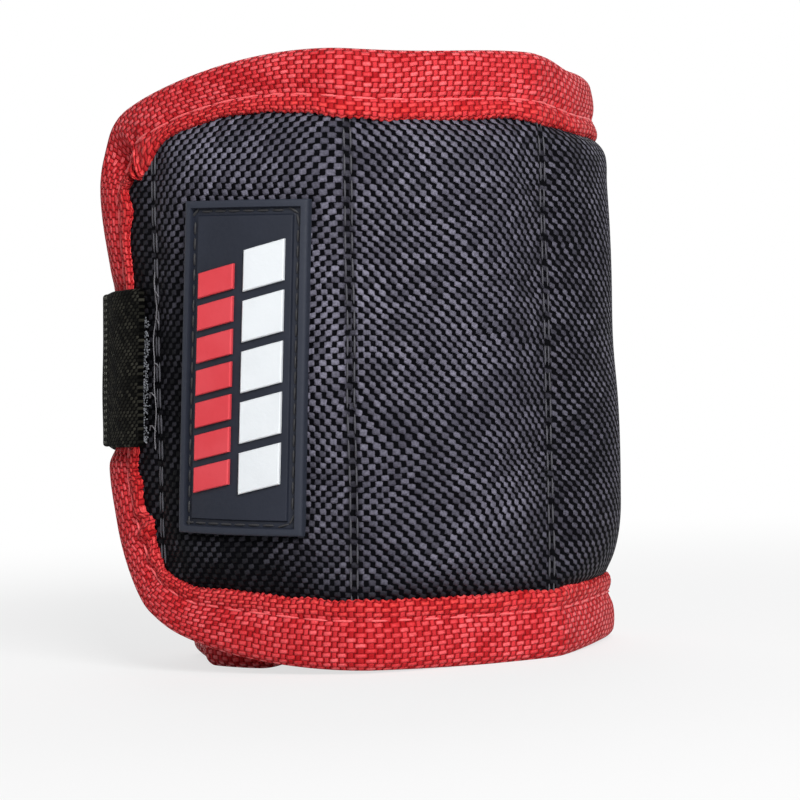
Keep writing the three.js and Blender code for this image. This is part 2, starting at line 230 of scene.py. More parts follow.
LINE_S, LINE_X, LINE_Y, LINE_HEADING = middle_line()


def lift(s):
    share = np.maximum(0.0, 1 - np.maximum(s, 0.0) / LIFT_REACH)
    return LIFT_HEIGHT * share**2


def edge_drop(s):
    reach = TAPER_REACH - TAPER_START
    near = TAPER_DROP * (np.maximum(0.0, TAPER_REACH - s) / reach) ** 2
    end = TAPER_DROP * (1 + 2 * (TAPER_START - s) / reach)
    return np.where(s >= TAPER_START, near, end)


def curl(s, up):
    """How far the outer end is drawn in towards the wrist, most where the strap holds it."""
    above = (up - STRAP_MID - STRAP_WIDTH / 2) / CURL_SPREAD_ABOVE
    below = (STRAP_MID - up - STRAP_WIDTH / 2 - CURL_START_BELOW) / CURL_SPREAD_BELOW
    beside = np.maximum(above, below)
    depth = CURL_AT_CORNERS + (CURL_AT_STRAP - CURL_AT_CORNERS) * (1 - smoothstep(beside))
    return depth * (np.maximum(0.0, CURL_REACH - s) / CURL_REACH) ** CURL_STEEPNESS


def tuck(s, up):
    """How far the lower side of the band is drawn in where it turns under the outer end."""
    return TUCK * window(s, *TUCK_SPAN) * smoothstep((-up - TUCK_START_BELOW) / TUCK_SPREAD_BELOW)


def dent(s, up):
    """The fold that is left where the tape is turned round the outer end's upper corner."""
    return DENT * bell(np.hypot((s - DENT_PLACE[0]) * DENT_STRETCH, up - DENT_PLACE[1]), DENT_REACH)


def flare(s, up):
    """On the far side the pads swell right up under the edge tape and push it out."""
    reach = np.where(up > FLARE_HEIGHT, FLARE_SPREAD_ABOVE, FLARE_SPREAD_BELOW)
    return FLARE * window(s, *FLARE_SPAN) * bell(up - FLARE_HEIGHT, reach)


def sag(s, up):
    """The upper edge hangs lower on the far side, and lowest on the end that is tucked under."""
    high = np.clip(up / HALF_HEIGHT, 0, 1)
    inner = smoothstep((s - INNER_END_DROP_START) / INNER_END_DROP_REACH)
    return (INNER_END_DROP * inner + TOP_SAG * window(s, *SAG_SPAN)) * high


def skewed(s, up):
    """The band is wrapped a little askew, so its front leans along with its height."""
    fade = 1 - smoothstep((s - SKEW_KEPT_TO) / (SKEW_GONE_BY - SKEW_KEPT_TO))
    return s + SKEW * up * fade


def place(s, up, out):
    """Points in millimetres, in the part's frame, as rows of three."""
    s, up, out = np.broadcast_arrays(s, up, out)
    out = out - curl(s, up) - tuck(s, up) - dent(s, up) + flare(s, up)
    along = skewed(s, up)
    x = np.interp(along, LINE_S, LINE_X)
    y = np.interp(along, LINE_S, LINE_Y)
    heading = np.interp(along, LINE_S, LINE_HEADING)
    z = HALF_HEIGHT + up + lift(s) - sag(s, up)
    return np.stack([x + out * np.sin(heading), y - out * np.cos(heading), z], axis=-1)


# ---------------------------------------------------------------- shapes of the cloth

# distance along the band, and the share of the tape's depth that is turned to its face there
TAPE_SHOWN_TOP = (
    (0, 0.87), (8, 0.80), (20, 0.73), (28, 0.75), (38, 0.83), (45, 0.92), (52, 1.0), (80, 1.0),
    (92, 1.05), (106, 1.02), (120, 1.0),
)
TAPE_SHOWN_BOTTOM = ((0, 0.87), (12, 0.78), (20, 0.78), (26, 0.90), (34, 0.98), (38, 1.0))


def tape_shown(s, up):
    top = np.interp(s, *zip(*TAPE_SHOWN_TOP))
    bottom = np.interp(s, *zip(*TAPE_SHOWN_BOTTOM))
    return np.where(up >= 0, top, bottom)


def cloth_edge(s, up):
    """Height at which the cover goes under the edge tape."""
    return HALF_HEIGHT - edge_drop(s) - TAPE_DEPTH * tape_shown(s, up)


def waves(a, b, pitch, seed, count=6):
    """A smooth, even wander over two lengths, between about -1 and 1."""
    rng = np.random.default_rng(seed)
    total = np.zeros(np.broadcast(a, b).shape)
    for _ in range(count):
        angle, phase = rng.uniform(0, 2 * math.pi, 2)
        length = pitch * rng.uniform(0.7, 1.4)
        total += np.sin(2 * math.pi * (a * math.cos(angle) + b * math.sin(angle)) / length + phase)
    return total / math.sqrt(count * 1.5)


def wander(run, pitch, seed):
    """A smooth wander over one length."""
    return waves(run, 0 * run, pitch, seed)


def seam_distance(s):
    """Distance to the nearest sewn channel."""
    seams = np.array([seam_place(index) for index in range(7)])
    return np.min(abs(np.asarray(s)[..., None] - seams), axis=-1)


def pad_share(s):
    """Share of the way across the pad that a distance lies in, or nought off the pads."""
    share = np.zeros(np.shape(s))
    for index in PANELS:
        start = STARTS[index] - SEAM_GAP / 2
        inside = (s >= start) & (s <= start + LENGTHS[index] + SEAM_GAP)
        share = np.where(inside, (s - start) / (LENGTHS[index] + SEAM_GAP), share)
    return share


PAD_BLUNTNESS = 0.62
CROWN_BLUNTNESS = 0.6
STEEP_FROM = 75
STEEP_REACH = 20
FULLER_SPAN = (70, 25, 150, 15)
PATCH_HOLD_REACH = 5.0
PATCH_HOLD_MARGIN = 0.2
# depth, reach from what holds the cloth, and length of the small folds there
CHANNEL_FOLDS = (0.30, 4.2, 9.0)
EDGE_FOLDS = (0.35, 6.0, 11.0)
CHANNEL_FOLD_STRETCH = 0.25
EDGE_FOLD_STRETCH = 0.2
SLOW_WANDER = (0.35, 38.0)
STILL_AT_TAPE = 4.0
STILL_AT_CHANNEL = 3.0
LEFT_AT_CHANNEL = 0.15


def fullness(s, up):
    """Share of the crown that a place of a pad has: one at its middle, nought where it is sewn."""
    share = pad_share(s)
    across = (4 * share * (1 - share)) ** PAD_BLUNTNESS
    steep = smoothstep((s - STEEP_FROM) / STEEP_REACH) * (up > 0)
    shoulder = CROWN_SHOULDER + (SIDE_SHOULDER - CROWN_SHOULDER) * steep
    rise = np.clip((cloth_edge(s, up) - abs(up)) / shoulder, 0, 1)
    return across * (rise * (2 - rise)) ** CROWN_BLUNTNESS


def patch_cover(s, up):
    """One under the rubber patch, falling to nought a little way round it."""
    middle = STARTS[1] + PATCH_FROM_SEAM + PATCH_WIDTH / 2
    beside = abs(s - middle - PATCH_LEAN * (up - PATCH_MID)) - PATCH_WIDTH / 2
    above = abs(up - PATCH_MID) - PATCH_HEIGHT / 2
    return 1 - smoothstep(np.maximum(beside, above) / PATCH_HOLD_REACH + PATCH_HOLD_MARGIN)


def puckers(s, up):
    """Small folds that run off the sewn channels and the edge tape, and a slow wander over the pads."""
    from_tape = cloth_edge(s, up) - abs(up)
    depth, reach, length = CHANNEL_FOLDS
    ripples = depth * bell(seam_distance(s), reach) * waves(s * CHANNEL_FOLD_STRETCH, up, length, 3)
    depth, reach, length = EDGE_FOLDS
    ripples += depth * bell(from_tape, reach) * waves(s, up * EDGE_FOLD_STRETCH, length, 5)
    depth, length = SLOW_WANDER
    inside = smoothstep(from_tape / STILL_AT_TAPE)
    inside = inside * smoothstep(seam_distance(s) / STILL_AT_CHANNEL + LEFT_AT_CHANNEL)
    ripples += depth * waves(s, up, length, 7)
    return ripples * inside * (pad_share(s) > 0) * (1 - patch_cover(s, up))


def smooth_cover_face(s, up):
    fuller = SIDE_FULLER * window(s, *FULLER_SPAN)
    return LAYER_GAP + CLOTH + (COVER_CROWN + fuller) * fullness(s, up)


CLOTH_PITCH = 1.3
CLOTH_COLUMNS = 66
CLOTH_SCALE = 0.01
CLOTH_FRAMES = 22
CLOTH_CAP = 2.6
CLOTH_UNDER_TAPE = 0.8
CLOTH_START_RISE = 0.85
SEWN_WIDTH = 0.9
SEWN_SHARE = 0.975
HELD_UNDER_PATCH = 0.9
SEWN = "sewn"
CLOTH_SETTINGS = (
    ("quality", 7), ("mass", 0.25), ("tension_stiffness", 25), ("compression_stiffness", 12),
    ("shear_stiffness", 6), ("bending_stiffness", 0.4), ("air_damping", 2), ("vertex_group_mass", SEWN),
    ("shrink_min", -0.035), ("use_pressure", True), ("uniform_pressure_force", 2.2),
)
EASING_PASSES = 36
EASED_SPAN = (88, 12, 128, 10)


def cloth_places():
    s = spread(seam_place(0), seam_place(6), CLOTH_PITCH)
    share = np.linspace(-1, 1, CLOTH_COLUMNS)
    return s, share, share[None, :] * (cloth_edge(s[:, None], share[None, :]) + CLOTH_UNDER_TAPE)


def blown_cover():
    """Cloth simulation: the cover, sewn down at its channels, tape and patch, blown up over its pads.

    It gives the way out of each place of a grid, beyond the smooth cover. On the far side the pads lie
    taut, so cross folds are eased out there.
    """
    s, share, up = cloth_places()
    along = s[:, None]
    rest = smooth_cover_face(along, up)
    held = (seam_distance(along) < SEWN_WIDTH) | (abs(share)[None, :] > SEWN_SHARE)
    held = held | (patch_cover(along, up) > HELD_UNDER_PATCH)
    start = place(along, up, np.where(held, rest, CLOTH_START_RISE * rest)) * CLOTH_SCALE
    mesh = new_mesh("cover cloth", start, [face[::-1] for face in grid_faces(*up.shape)])
    carrier = add_object("cover cloth", mesh)
    pins = carrier.vertex_groups.new(name=SEWN)
    pins.add(np.flatnonzero(held.ravel()).tolist(), 1.0, "REPLACE")
    modifier = carrier.modifiers.new("cloth", "CLOTH")
    for word, value in CLOTH_SETTINGS:
        setattr(modifier.settings, word, value)
    modifier.settings.effector_weights.gravity = 0
    modifier.point_cache.frame_start = 1
    modifier.point_cache.frame_end = CLOTH_FRAMES
    scene = bpy.context.scene
    first = scene.frame_current
    for number in range(1, CLOTH_FRAMES + 1):
        scene.frame_set(number)
    shown = carrier.evaluated_get(bpy.context.evaluated_depsgraph_get())
    points = vertex_places(shown.data).reshape(*up.shape, 3) / CLOTH_SCALE
    scene.frame_set(first)
    bpy.data.objects.remove(carrier)
    base = place(along, up, 0.0)
    outward = place(along, up, 1.0) - base
    rise = np.clip(((points - base) * outward).sum(-1) - rest, -CLOTH_CAP, CLOTH_CAP)
    eased = rise.copy()
    for _ in range(EASING_PASSES):
        eased[:, 1:-1] = (eased[:, :-2] + 2 * eased[:, 1:-1] + eased[:, 2:]) / 4
    return rise + (eased - rise) * window(along, *EASED_SPAN)


def spline_share(x, count):
    """Nearest four grid numbers to a place on a grid, and the cubic share of each."""
    x = np.clip(x, 0, count - 1)
    first = np.floor(x).astype(int)
    t = x - first
    shares = (
        (1 - t) ** 3 / 6, (3 * t**3 - 6 * t**2 + 4) / 6,
        (-3 * t**3 + 3 * t**2 + 3 * t + 1) / 6, t**3 / 6,
    )
    return [(np.clip(first + step, 0, count - 1), part) for step, part in zip((-1, 0, 1, 2), shares)]


def sampled(grid, rows, columns):
    total = np.zeros(np.broadcast(rows, columns).shape)
    for row, row_part in spline_share(rows, grid.shape[0]):
        for column, column_part in spline_share(columns, grid.shape[1]):
            total = total + grid[row, column] * row_part * column_part
    return total


BLOWN = None
RISE_PAST_EDGE = 0.6
RISE_FADE = 1.2
PUCKER_SHARE = 0.5


def cover_rise(s, up):
    """How far the cover stands beyond its smooth shape."""
    if BLOWN is None:
        return puckers(s, up)
    inside = (pad_share(s) > 0) * smoothstep((cloth_edge(s, up) + RISE_PAST_EDGE - abs(up)) / RISE_FADE)
    first, last = seam_place(0), seam_place(6)
    rows = (s - first) / (last - first) * (BLOWN.shape[0] - 1)
    columns = (up / (cloth_edge(s, up) + CLOTH_UNDER_TAPE) + 1) / 2 * (BLOWN.shape[1] - 1)
    return (sampled(BLOWN, rows, columns) + PUCKER_SHARE * puckers(s, up)) * inside


def cover_face(s, up):
    return smooth_cover_face(s, up) + cover_rise(s, up)


def lining_face(s, up):
    return -LAYER_GAP - CLOTH - LINING_CROWN * fullness(s, up)


# ---------------------------------------------------------------- mesh makers


def spread(start, end, pitch):
    """Even places from a start to an end, about a pitch apart."""
    count = max(2, int(round(abs(end - start) / pitch)) + 1)
    return np.linspace(start, end, count)


def run_along(points):
    """Distance run along a line of points, at each of them."""
    return np.concatenate([[0], np.cumsum(np.hypot(*np.diff(points, axis=0).T))])


def at_run(wanted, run, points):
    """Places in a plane at these distances run along a line of points."""
    return np.stack([np.interp(wanted, run, points[:, axis]) for axis in (0, 1)], axis=-1)


def new_mesh(name, points, faces, edges=()):
    mesh = bpy.data.meshes.new(name)
    mesh.from_pydata(np.reshape(points, (-1, 3)).tolist(), list(edges), faces)
    return mesh


def add_object(name, data):
    made = bpy.data.objects.new(name, data)
    bpy.context.scene.collection.objects.link(made)
    return made


def vertex_places(mesh):
    places = np.zeros(len(mesh.vertices) * 3)
    mesh.vertices.foreach_get("co", places)
    return places.reshape(-1, 3)


def signed_volume(mesh):
    mesh.calc_loop_triangles()
    corners = np.zeros(len(mesh.loop_triangles) * 3, int)
    mesh.loop_triangles.foreach_get("vertices", corners)
    a, b, c = np.swapaxes(vertex_places(mesh)[corners.reshape(-1, 3)], 0, 1)
    return float(np.einsum("ij,ij->i", a, np.cross(b, c)).sum())


def finish_mesh(name, points, faces, uv, material, sharp=55.0):
    mesh = new_mesh(name, np.asarray(points) * MM, faces)
    mesh.validate(verbose=False)
    mesh.polygons.foreach_set("use_smooth", np.ones(len(mesh.polygons), bool))
    if uv is not None:
        layer = mesh.uv_layers.new(name="cloth")
        corner = np.zeros(len(mesh.loops), int)
        mesh.loops.foreach_get("vertex_index", corner)
        layer.data.foreach_set("uv", np.asarray(uv, np.float32)[corner].ravel())
    mesh.set_sharp_from_angle(angle=math.radians(sharp))
    mesh.materials.append(material)
    if signed_volume(mesh) < 0:
        mesh.flip_normals()
    return add_object(name, mesh)


def grid_faces(rows, columns, start=0, closed=False):
    """Quads of a grid of points numbered row by row. A closed grid joins its last column to its first."""
    wide = columns if closed else columns - 1
    i, j = np.meshgrid(np.arange(rows - 1), np.arange(wide), indexing="ij")
    a = start + i * columns + j
    b = start + i * columns + (j + 1) % columns
    return np.stack([a, b, b + columns, a + columns], axis=-1).reshape(-1, 4).tolist()


def closed_sheet(name, top, base, flat, material):
    """A closed piece from two faces over one grid of places, with a rim between them."""
    rows, columns = top.shape[:2]
    count = rows * columns
    faces = grid_faces(rows, columns)
    back = [[a + count, d + count, c + count, b + count] for a, b, c, d in faces]
    number = np.arange(count).reshape(rows, columns)
    loop = [*number[0], *number[1:, -1], *number[-1, ::-1][1:], *number[::-1, 0][1:-1]]
    loop = [int(n) for n in loop[::-1]]
    rim = [[a, b, b + count, a + count] for a, b in zip(loop, loop[1:] + loop[:1])]
    points = np.concatenate([top.reshape(-1, 3), base.reshape(-1, 3)])
    uv = np.tile(flat.reshape(-1, 2), (2, 1))
    return finish_mesh(name, points, faces + back + rim, uv, material)


def shell(name, s, up, outer, inner, material):
    """A closed sheet between two surfaces over a grid of places."""
    distance = np.broadcast_to(s if s.ndim == 2 else s[:, None], up.shape)
    top, base = (place(distance, up, face(distance, up)) for face in (outer, inner))
    return closed_sheet(name, top, base, np.stack([distance, up], axis=-1), material)


def ring_faces(count, size, start=0):
    """Faces of a solid through rings of points numbered ring by ring, capped at both ends."""
    last = start + (count - 1) * size
    caps = [list(range(start, start + size))[::-1], list(range(last, last + size))]
    return grid_faces(count, size, start, closed=True) + caps


def tube(name, rings, uv, material, sharp=55.0):
    """A closed solid through rings of points, each ring a closed outline."""
    faces = ring_faces(*rings.shape[:2])
    return finish_mesh(name, rings.reshape(-1, 3), faces, uv.reshape(-1, 2), material, sharp)


BLOWN = blown_cover()


# ---------------------------------------------------------------- materials


class Mix:
    """Short words for building one material's nodes."""

    def __init__(self, name):
        self.material = bpy.data.materials.new(name)
        self.material.use_nodes = True
        self.tree = self.material.node_tree
        self.tree.nodes.clear()
        self.output = self.new("ShaderNodeOutputMaterial")
        self.shader = self.new("ShaderNodeBsdfPrincipled")
        self.tree.links.new(self.shader.outputs[0], self.output.inputs["Surface"])

    def new(self, kind, *values, **settings):
        """A node with these settings, fed with these values in the order of its sockets."""
        node = self.tree.nodes.new(kind)
        for word, setting in settings.items():
            setattr(node, word, setting)
        for socket, value in zip(node.inputs, values):
            self.feed(socket, value)
        return node

    def feed(self, socket, value):
        if isinstance(value, bpy.types.NodeSocket):
            self.tree.links.new(value, socket)
        elif value is not None:
            socket.default_value = value

    def math(self, operation, *values):
        return self.new("ShaderNodeMath", *values, operation=operation).outputs[0]

    def add(self, a, b):
        return self.math("ADD", a, b)

    def times(self, a, b):
        return self.math("MULTIPLY", a, b)

    def size(self, value):
        return self.math("ABSOLUTE", value)

    def ramp(self, value, low, high, to_low=0.0, to_high=1.0):
        values = (value, low, high, to_low, to_high)
        return self.new("ShaderNodeMapRange", *values, interpolation_type="SMOOTHSTEP").outputs[0]

    def blend(self, share, a, b):
        """One colour or the other."""
        node = self.new("ShaderNodeMix", share, data_type="RGBA")
        self.feed(node.inputs[6], a)
        self.feed(node.inputs[7], b)
        return node.outputs[2]

    def between(self, share, a, b):
        """One number or the other."""
        return self.new("ShaderNodeMix", share, None, a, b).outputs[0]

    def place(self):
        return self.new("ShaderNodeTexCoord").outputs["Object"]

    def cloth(self):
        """Lengths along and across the cloth, in millimetres."""
        flat = self.new("ShaderNodeUVMap", uv_map="cloth").outputs[0]
        parts = self.new("ShaderNodeSeparateXYZ", flat).outputs
        return parts[0], parts[1]

    def join(self, x, y, z=0.0):
        return self.new("ShaderNodeCombineXYZ", x, y, z).outputs[0]

    def noise(self, vector, scale, detail=2.0, roughness=0.5):
        node = self.new("ShaderNodeTexNoise", vector)
        for word, value in (("Scale", scale), ("Detail", detail), ("Roughness", roughness)):
            node.inputs[word].default_value = value
        return node.outputs[0]

    def grain(self, scale, detail=2.0, roughness=0.5):
        """Noise that stays with the piece."""
        return self.noise(self.place(), scale, detail, roughness)

    def scatter(self, vector):
        """One random number for each whole-numbered place."""
        return self.new("ShaderNodeTexWhiteNoise", vector, noise_dimensions="2D").outputs["Value"]

    def cell(self, value, pitch, offset=0.0):
        """Which cell a length falls in, and where in it from -1 to 1."""
        turned = self.math("MULTIPLY_ADD", value, 1.0 / pitch, offset)
        number = self.math("FLOOR", turned)
        inside = self.math("SUBTRACT", turned, number)
        return number, self.math("MULTIPLY_ADD", inside, 2.0, -1.0)

    def dome(self, x, power, height=0.5):
        """One at the middle of a thread, nought at its sides."""
        side = self.math("SUBTRACT", 1.0, self.math("POWER", self.size(x), power))
        return self.math("POWER", self.math("MAXIMUM", side, 0.0), height)

    def finish(self, colour, roughness, relief=None, depth=0.0, **fixed):
        """Colour, roughness and a relief of some depth, in millimetres, to the shader."""
        self.feed(self.shader.inputs["Base Color"], colour)
        self.feed(self.shader.inputs["Roughness"], roughness)
        if relief is not None:
            bump = self.new("ShaderNodeBump")
            bump.inputs["Distance"].default_value = depth * MM
            self.feed(bump.inputs["Height"], relief)
            self.feed(self.shader.inputs["Normal"], bump.outputs[0])
        for word, value in fixed.items():
            self.shader.inputs[word.replace("_", " ")].default_value = value
        return self.material


def paint(red, green, blue):
    """A colour given as it looks on a screen, from 0 to 255."""
    def straight(value):
        value /= 255
        return value / 12.92 if value <= 0.04045 else ((value + 0.055) / 1.055) ** 2.4
    return (straight(red), straight(green), straight(blue), 1.0)


def drifting(mix, along, across, *, amount, scale, seed):
    """The same two lengths, wandering a little, so that no row of threads is dead straight."""
    drifted = []
    for length, other, number in ((along, across, seed), (across, along, seed + 9.0)):
        noise = mix.noise(mix.join(length, other, number), scale, 1.0)
        drifted.append(mix.add(length, mix.times(mix.math("SUBTRACT", noise, 0.5), amount)))
    return drifted


def beads(mix, along, across, *, pitch, row, length, width, slant, offsets, round_off=(2.4, 2.2)):
    """Height of the beads of a weave, laid like bricks, the shade of each, and the way across it."""
    heights, shades, ways = [], [], []
    for first, second in offsets:
        column, x = mix.cell(along, pitch, first)
        line, y = mix.cell(across, 2 * row, second)
        x = mix.times(x, pitch / length)
        y = mix.math("MULTIPLY_ADD", x, slant, mix.times(y, 2 * row / width))
        heights.append(mix.times(mix.dome(x, round_off[0], 0.8), mix.dome(y, round_off[1], 0.8)))
        shades.append(mix.scatter(mix.join(column, line, first)))
        ways.append(y)
    second = mix.math("GREATER_THAN", heights[1], heights[0])
    height = mix.math("MAXIMUM", *heights)
    return height, mix.between(second, *shades), mix.between(second, *ways)


FACE_THREADS = ((0.0, 0.0), (0.5, 0.5))
CROSS_THREADS = ((0.5, 0.0), (0.0, 0.5))
# painted light: these place the lit front of the pads, where the cover is painted lighter, by its slant and
# where it rises and fades
FRONT_SLANT = 0.45
FRONT_RISES = (1, 27)
FRONT_FADES = (-14, 4)
CHANNEL_EDGE = (0.55, 1.15)


def painted_light_share(mix, along, across):
    """How far a place lies on the front of the pads, which is painted as lit, and not on the outer end or the
    far side, which are painted darker, as in shade.
    """
    slanted = mix.math("MULTIPLY_ADD", across, FRONT_SLANT, along)
    near = mix.ramp(slanted, *(STARTS[1] + step for step in FRONT_RISES))
    return near, mix.ramp(along, *(STARTS[3] + step for step in FRONT_FADES), 1.0, 0.0)


def channel_shade_mask(mix, along):
    """One on the sewn channels between the pads, where shade is painted into the cover, nought beside them.
    """
    pitch = STARTS[2] - STARTS[1]
    turned = mix.math("FLOORED_MODULO", mix.add(along, pitch / 2 - seam_place(0)), pitch)
    beside = mix.size(mix.add(turned, -pitch / 2))
    on_pads = mix.math("LESS_THAN", along, seam_place(6) + 2)
    return mix.times(mix.ramp(beside, *CHANNEL_EDGE, 1.0, 0.0), on_pads)


def ballistic_weave():
    mix = Mix("ballistic weave")
    along, across = mix.cloth()
    near, far = painted_light_share(mix, along, across)
    # painted light: the cover is painted lighter towards its top, as lit from above, and darker on the outer
    # end and the far side, as turned away from the light
    high = mix.ramp(across, -70.0, 25.0, 0.72, 1.0)
    wear_and_painted_light = mix.times(mix.times(near, high), mix.between(far, 0.62, 1.0))
    flat = mix.times(near, far)
    groove = channel_shade_mask(mix, along)
    askew = mix.math("MULTIPLY_ADD", mix.noise(mix.join(along, across), 0.06, 1.0), 36.0, along)
    slant = mix.ramp(askew, STARTS[2] + 8, STARTS[2] + 26, -0.25, 0.48)
    along, across = drifting(mix, along, across, amount=3.2, scale=0.05, seed=4.0)
    bead, shade, wide = beads(
        mix, along, across, pitch=1.79, row=0.97, length=1.2, width=1.06, slant=slant,
        offsets=FACE_THREADS, round_off=(4.5, 3.2),
    )
    strand = mix.math("SINE", mix.times(wide, 13.0))
    fine = mix.grain(2600.0)
    cloud = mix.noise(mix.join(along, across), 0.045, 3.0)
    thread = mix.blend(shade, paint(84, 82, 94), paint(134, 131, 148))
    thread = mix.blend(mix.ramp(cloud, 0.35, 0.7, 0.0, 0.45), thread, paint(62, 60, 72))
    thread = mix.blend(mix.ramp(fine, 0.32, 0.68, 0.45, 0.0), thread, paint(44, 43, 52))
    # painted shade: darker thread where the cover is turned away from the light
    shaded_thread = mix.blend(mix.math("POWER", shade, 2.0), paint(17, 17, 20), paint(56, 55, 62))
    thread = mix.blend(wear_and_painted_light, shaded_thread, thread)
    # painted shade along the lower edge, where the cover turns down under the tape
    thread = mix.blend(mix.ramp(across, -40.5, -33.5), paint(22, 21, 25), thread)
    ragged = mix.add(bead, mix.ramp(fine, 0.3, 0.7, -0.16, 0.16))
    # the beads show wide crowns on the lit front and narrow ones on the sides: partly their shape, partly
    # painted shade on the sides
    crown = mix.between(flat, mix.ramp(ragged, 0.3, 1.0), mix.ramp(ragged, 0.1, 0.62))
    colour = mix.blend(crown, paint(3, 3, 6), thread)
    # painted shade in the sewn channels between the pads
    colour = mix.blend(mix.times(groove, 0.6), colour, paint(7, 7, 10))
    relief = mix.add(bead, mix.add(mix.times(strand, 0.03), mix.times(fine, 0.10)))
    return mix.finish(colour, mix.ramp(bead, 0.2, 0.9, 0.85, 0.5), relief, 0.4, Specular_IOR_Level=0.05)


def edge_tape_weave():
    mix = Mix("woven edge tape")
    along, across = mix.cloth()
    lip = mix.ramp(mix.size(across), TAPE_GROOVE + 1.6, TAPE_GROOVE + 2.6)
    along, across = drifting(mix, along, across, amount=1.6, scale=0.07, seed=2.0)
    weave = {"pitch": 2.6, "row": 0.85, "slant": 0.16}
    bead, shade, wide = beads(
        mix, along, across, length=1.75, width=0.96, offsets=FACE_THREADS, round_off=(3.2, 2.6), **weave
    )
    cross, dim, _ = beads(
        mix, along, across, length=0.95, width=1.12, offsets=CROSS_THREADS, round_off=(3.0, 4.0), **weave
    )
    fine = mix.grain(2200.0)
    cloud = mix.noise(mix.join(along, across), 0.07, 2.0)
    strand = mix.math("SINE", mix.times(wide, 14.0))
    # painted highlight: these light colours are the beads' lit tops, blended in by each bead's height below
    light = mix.blend(shade, paint(224, 64, 70), paint(255, 116, 121))
    light = mix.blend(mix.times(lip, 0.5), light, paint(240, 70, 58))
    thread = mix.blend(mix.ramp(bead, 0.45, 0.95), paint(188, 22, 27), light)
    thread = mix.blend(mix.ramp(cloud, 0.35, 0.7, 0.0, 0.45), thread, paint(206, 36, 40))
    under = mix.blend(dim, paint(172, 22, 28), paint(222, 60, 66))
    thread = mix.blend(mix.ramp(fine, 0.32, 0.68, 0.35, 0.0), thread, paint(176, 24, 30))
    # painted shade: the gaps between the threads are painted a darker red
    gap = mix.blend(mix.ramp(cross, 0.12, 0.85), paint(112, 3, 8), under)
    colour = mix.blend(mix.ramp(bead, 0.05, 0.45), gap, thread)
    height = mix.math("MAXIMUM", bead, mix.times(cross, 0.75))
    relief = mix.add(height, mix.add(mix.times(strand, 0.03), mix.times(fine, 0.08)))
    return mix.finish(
        colour, mix.ramp(bead, 0.2, 0.9, 0.85, 0.45), relief, 0.45,
        Specular_IOR_Level=0.12, Sheen_Weight=0.02, Sheen_Roughness=0.35,
    )


def ribbed_webbing():
    mix = Mix("ribbed strap webbing")
    along, across = drifting(mix, *mix.cloth(), amount=0.5, scale=0.1, seed=6.0)
    bead, shade, _ = beads(
        mix, along, across, pitch=1.05, row=0.56, length=0.85, width=0.62, slant=0.3, offsets=FACE_THREADS
    )
    thread = mix.blend(mix.math("POWER", shade, 1.5), paint(12, 12, 10), paint(58, 57, 50))
    colour = mix.blend(mix.ramp(bead, 0.15, 0.8), paint(2, 2, 2), thread)
    relief = mix.add(bead, mix.times(mix.grain(3000.0, 3.0), 0.16))
    return mix.finish(colour, 0.85, relief, 0.2, Specular_IOR_Level=0.05)


def air_mesh():
    mix = Mix("air mesh lining")
    along, across = mix.cloth()
    row, y = mix.cell(across, 1.7)
    shift = mix.times(mix.math("FLOORED_MODULO", row, 2.0), 0.5)
    _, x = mix.cell(mix.add(along, mix.times(shift, 2.1)), 2.1)
    reach = mix.add(mix.math("POWER", mix.size(x), 2.0), mix.math("POWER", mix.size(y), 2.0))
    rim = mix.ramp(reach, 0.25, 0.55)
    fine = mix.grain(3200.0, 3.0)
    thread = mix.blend(fine, paint(30, 30, 33), paint(58, 58, 62))
    colour = mix.blend(rim, paint(8, 8, 9), thread)
    return mix.finish(colour, 0.9, mix.add(rim, mix.times(fine, 0.25)), 0.4, Specular_IOR_Level=0.25)


def hook_and_loop(name, dark, light, pitch, depth):
    mix = Mix(name)
    along, across = mix.cloth()
    column, x = mix.cell(along, pitch)
    row, y = mix.cell(across, pitch)
    tuft = mix.times(mix.dome(x, 2.0), mix.dome(y, 2.0))
    fuzz = mix.grain(1900.0, 5.0, 0.75)
    shade = mix.scatter(mix.join(column, row))
    relief = mix.add(mix.times(tuft, 0.5), mix.add(fuzz, mix.times(shade, 0.2)))
    colour = mix.blend(mix.ramp(fuzz, 0.3, 0.7), dark, light)
    return mix.finish(colour, 0.95, relief, depth, Specular_IOR_Level=0.2, Sheen_Weight=0.2)


def rubber(name, colour, wear_and_painted_light, rim=None):
    mix = Mix(name)
    fine = mix.grain(1500.0, 4.0, 0.6)
    shade = mix.blend(mix.ramp(mix.grain(120.0, 3.0), 0.35, 0.7, 0.0, 0.5), colour, wear_and_painted_light)
    if rim:
        across, up = mix.cloth()
        beside = mix.add(mix.size(across), PATCH_RIM - PATCH_WIDTH / 2)
        above = mix.add(mix.size(up), PATCH_RIM - PATCH_HEIGHT / 2)
        shade = mix.blend(mix.ramp(mix.math("MAXIMUM", beside, above), -0.2, 0.0), shade, rim)
    return mix.finish(shade, mix.ramp(fine, 0.3, 0.7, 0.49, 0.65), fine, 0.03, Specular_IOR_Level=0.25)


def spun_thread(name, dark, light):
    mix = Mix(name)
    fine = mix.grain(2500.0, 3.0)
    return mix.finish(mix.blend(fine, dark, light), 0.55, fine, 0.08, Sheen_Weight=0.1)


def foam_cells():
    mix = Mix("open foam")
    fine = mix.grain(900.0, 4.0, 0.7)
    colour = mix.blend(mix.ramp(fine, 0.3, 0.65), paint(170, 164, 146), paint(226, 221, 205))
    return mix.finish(colour, 1.0, fine, 0.25, Specular_IOR_Level=0.2)


def magnet_plate():
    mix = Mix("nickel plated magnet")
    colour = mix.blend(mix.grain(260.0, 3.0), paint(176, 176, 174), paint(206, 205, 201))
    fine = mix.grain(1800.0)
    return mix.finish(colour, mix.ramp(fine, 0.3, 0.7, 0.22, 0.34), fine, 0.01, Metallic=1.0)


